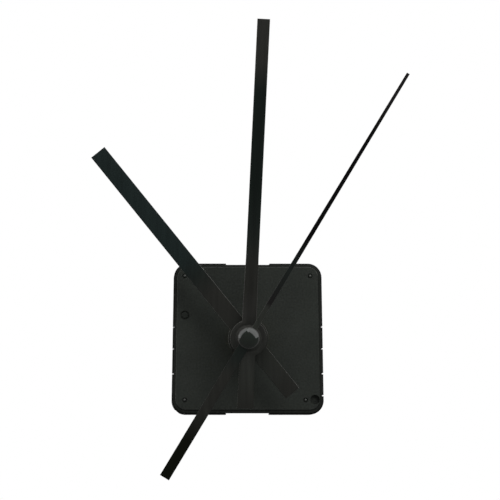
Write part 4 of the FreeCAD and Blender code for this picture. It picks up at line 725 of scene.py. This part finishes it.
def make_winding():
    """A layer of wound wire.

    The radius is the coil's less about a third of a wire times one less a wave. The wave is the size of the
    sine of half a turn for each wire along the coil and each full turn round it, so that it climbs as a
    screw does.
    """
    low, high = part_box("coil_winding")
    middle_y, middle_z = (low.y + high.y) / 2, (low.z + high.z) / 2
    outer, inner, wire, groove = (high.z - low.z) / 2, 2.1 * MM, 0.24 * MM, 0.35
    rows_a_wire, segments = 8, 48
    along = np.linspace(low.x, high.x, int((high.x - low.x) / wire * rows_a_wire))
    turn = full_turn(segments)
    wave = np.abs(np.sin(math.pi * (along[:, None] / wire + turn / TURN)))
    ends = np.full((1, segments), inner)
    radius = np.concatenate([ends, outer - wire * groove * (1 - wave), ends])
    along = np.concatenate([[low.x], along, [high.x]])
    coil = np.empty((len(along), segments, 3))
    coil[..., 0] = along[:, None]
    coil[..., 1] = middle_y + radius * np.cos(turn)
    coil[..., 2] = middle_z + radius * np.sin(turn)
    stand_for(skin("wound_coil", coil, along=True, sharp=60), "coil_winding", "movement")


make_winding()


# Stage, lights and camera

WHITE = (1, 1, 1, 1)
SKY_STRENGTH = 0.22
FLOOR_RADIUS, FLOOR_SEGMENTS, FLOOR_HEIGHT, FLOOR_GREY = 4.0, 64, -0.125, (0.20, 0.20, 0.20, 1)
GLOW_FROM, GLOW_TO, LEAST_GLOW = 0.30, 1.1, 0.10
LENS, SENSOR_WIDTH, NEAREST, FARTHEST = 349.9, 36.0, 0.01, 50.0
CAMERA_PLACE, CAMERA_AIM = Vector((-0.0408, -1.8, -0.0440)), Vector((0.0008, 0.0, 0.0330))


def white_background(tree, strength):
    """A white background of a strength."""
    background = tree.nodes.new("ShaderNodeBackground")
    background.inputs["Color"].default_value = WHITE
    background.inputs["Strength"].default_value = strength
    return background.outputs[0]


def white_for_eyes(tree):
    """1 for rays that the camera, a shiny or a clear surface sends out, and 0 for the rest."""
    path = tree.nodes.new("ShaderNodeLightPath")
    seen = computed(tree, "MAXIMUM", path.outputs["Is Camera Ray"], path.outputs["Is Glossy Ray"])
    return computed(tree, "MAXIMUM", seen, path.outputs["Is Transmission Ray"])


def make_world():
    """White surroundings for the eye and for shine, and a softer white that lights the clock."""
    world = bpy.data.worlds.new("studio")
    bpy.context.scene.world = world
    world.use_nodes = True
    tree = world.node_tree
    tree.nodes.clear()
    light, seen = white_background(tree, SKY_STRENGTH), white_background(tree, 1.0)
    out = tree.nodes.new("ShaderNodeOutputWorld")
    tree.links.new(mixed(tree, white_for_eyes(tree), light, seen), out.inputs["Surface"])


def make_floor():
    """A wide pale floor under the reach of the longest hand. To the eye it glows more and more with the
    distance from the clock and is white but for the clock's shadow, and shiny surfaces see it white."""
    floor = skin("floor", turned([(FLOOR_RADIUS, 0.0), (0.0, 0.0)], FLOOR_SEGMENTS)[..., [0, 2, 1]])
    floor.data.transform(Matrix.Translation((0, 0, FLOOR_HEIGHT)))
    material, tree, body = shader("floor_white")
    body.inputs["Base Color"].default_value = FLOOR_GREY
    body.inputs["Roughness"].default_value = 0.9
    body.inputs["Specular IOR Level"].default_value = 0.0
    body.inputs["Emission Color"].default_value = WHITE
    place, distance = tree.nodes.new("ShaderNodeTexCoord"), tree.nodes.new("ShaderNodeVectorMath")
    distance.operation = "LENGTH"
    tree.links.new(place.outputs["Object"], distance.inputs[0])
    glow = between(tree, distance.outputs["Value"], LEAST_GLOW, 1.0, GLOW_FROM, GLOW_TO)
    path, mirrored = tree.nodes.new("ShaderNodeLightPath"), tree.nodes.new("ShaderNodeEmission")
    shown = computed(tree, "MULTIPLY", glow, path.outputs["Is Camera Ray"])
    tree.links.new(shown, body.inputs["Emission Strength"])
    surface = mixed(tree, path.outputs["Is Glossy Ray"], body.outputs[0], mirrored.outputs[0])
    tree.links.new(surface, tree.nodes["Material Output"].inputs["Surface"])
    dress(floor, material)


def make_lamp(name, clock_angle, lean, distance, width, height, power):
    """A soft rectangular lamp that faces the hand shaft.

    It stands at an angle from twelve o'clock and leans some degrees away from the shaft's line, and its
    width runs round that line. Angles are in degrees and power is in watts.
    """
    lamp = bpy.data.lights.new(name, "AREA")
    lamp.shape = "RECTANGLE"
    lamp.size, lamp.size_y = width, height
    lamp.energy = power
    round_turn, out_turn = math.radians(clock_angle), math.radians(lean)
    outwards = Vector((math.sin(round_turn), 0, math.cos(round_turn)))
    backwards = math.sin(out_turn) * outwards - math.cos(out_turn) * Vector((0, 1, 0))
    across = Vector((math.cos(round_turn), 0, -math.sin(round_turn)))
    holder = bpy.data.objects.new(name, lamp)
    holder.location = distance * backwards
    holder.rotation_euler = Matrix((across, backwards.cross(across), backwards)).transposed().to_euler()
    bpy.context.scene.collection.objects.link(holder)


def make_camera():
    """A long lens a little to the left of the shaft and below it, facing the middle of the hands."""
    camera = bpy.data.cameras.new("camera")
    camera.lens = LENS
    camera.sensor_width = SENSOR_WIDTH
    camera.clip_start, camera.clip_end = NEAREST, FARTHEST
    holder = bpy.data.objects.new("camera", camera)
    holder.location = CAMERA_PLACE
    holder.rotation_euler = (CAMERA_AIM - CAMERA_PLACE).to_track_quat("-Z", "Y").to_euler()
    bpy.context.scene.collection.objects.link(holder)
    bpy.context.scene.camera = holder


make_world()
make_floor()
make_lamp("right_softbox", clock_angle=40, lean=64, distance=0.80, width=1.40, height=0.62, power=26.0)
make_lamp("left_softbox", clock_angle=-46, lean=69, distance=0.80, width=1.36, height=0.42, power=14.0)
make_lamp("left_strip", clock_angle=-86, lean=76, distance=0.72, width=0.50, height=0.06, power=0.9)
make_lamp("top_spot", clock_angle=-2, lean=50, distance=0.80, width=0.12, height=0.09, power=0.33)
make_lamp("rear_softbox", clock_angle=68, lean=133, distance=1.00, width=0.90, height=0.50, power=15.0)
make_camera()

scene = bpy.context.scene
scene.view_settings.view_transform = "Standard"
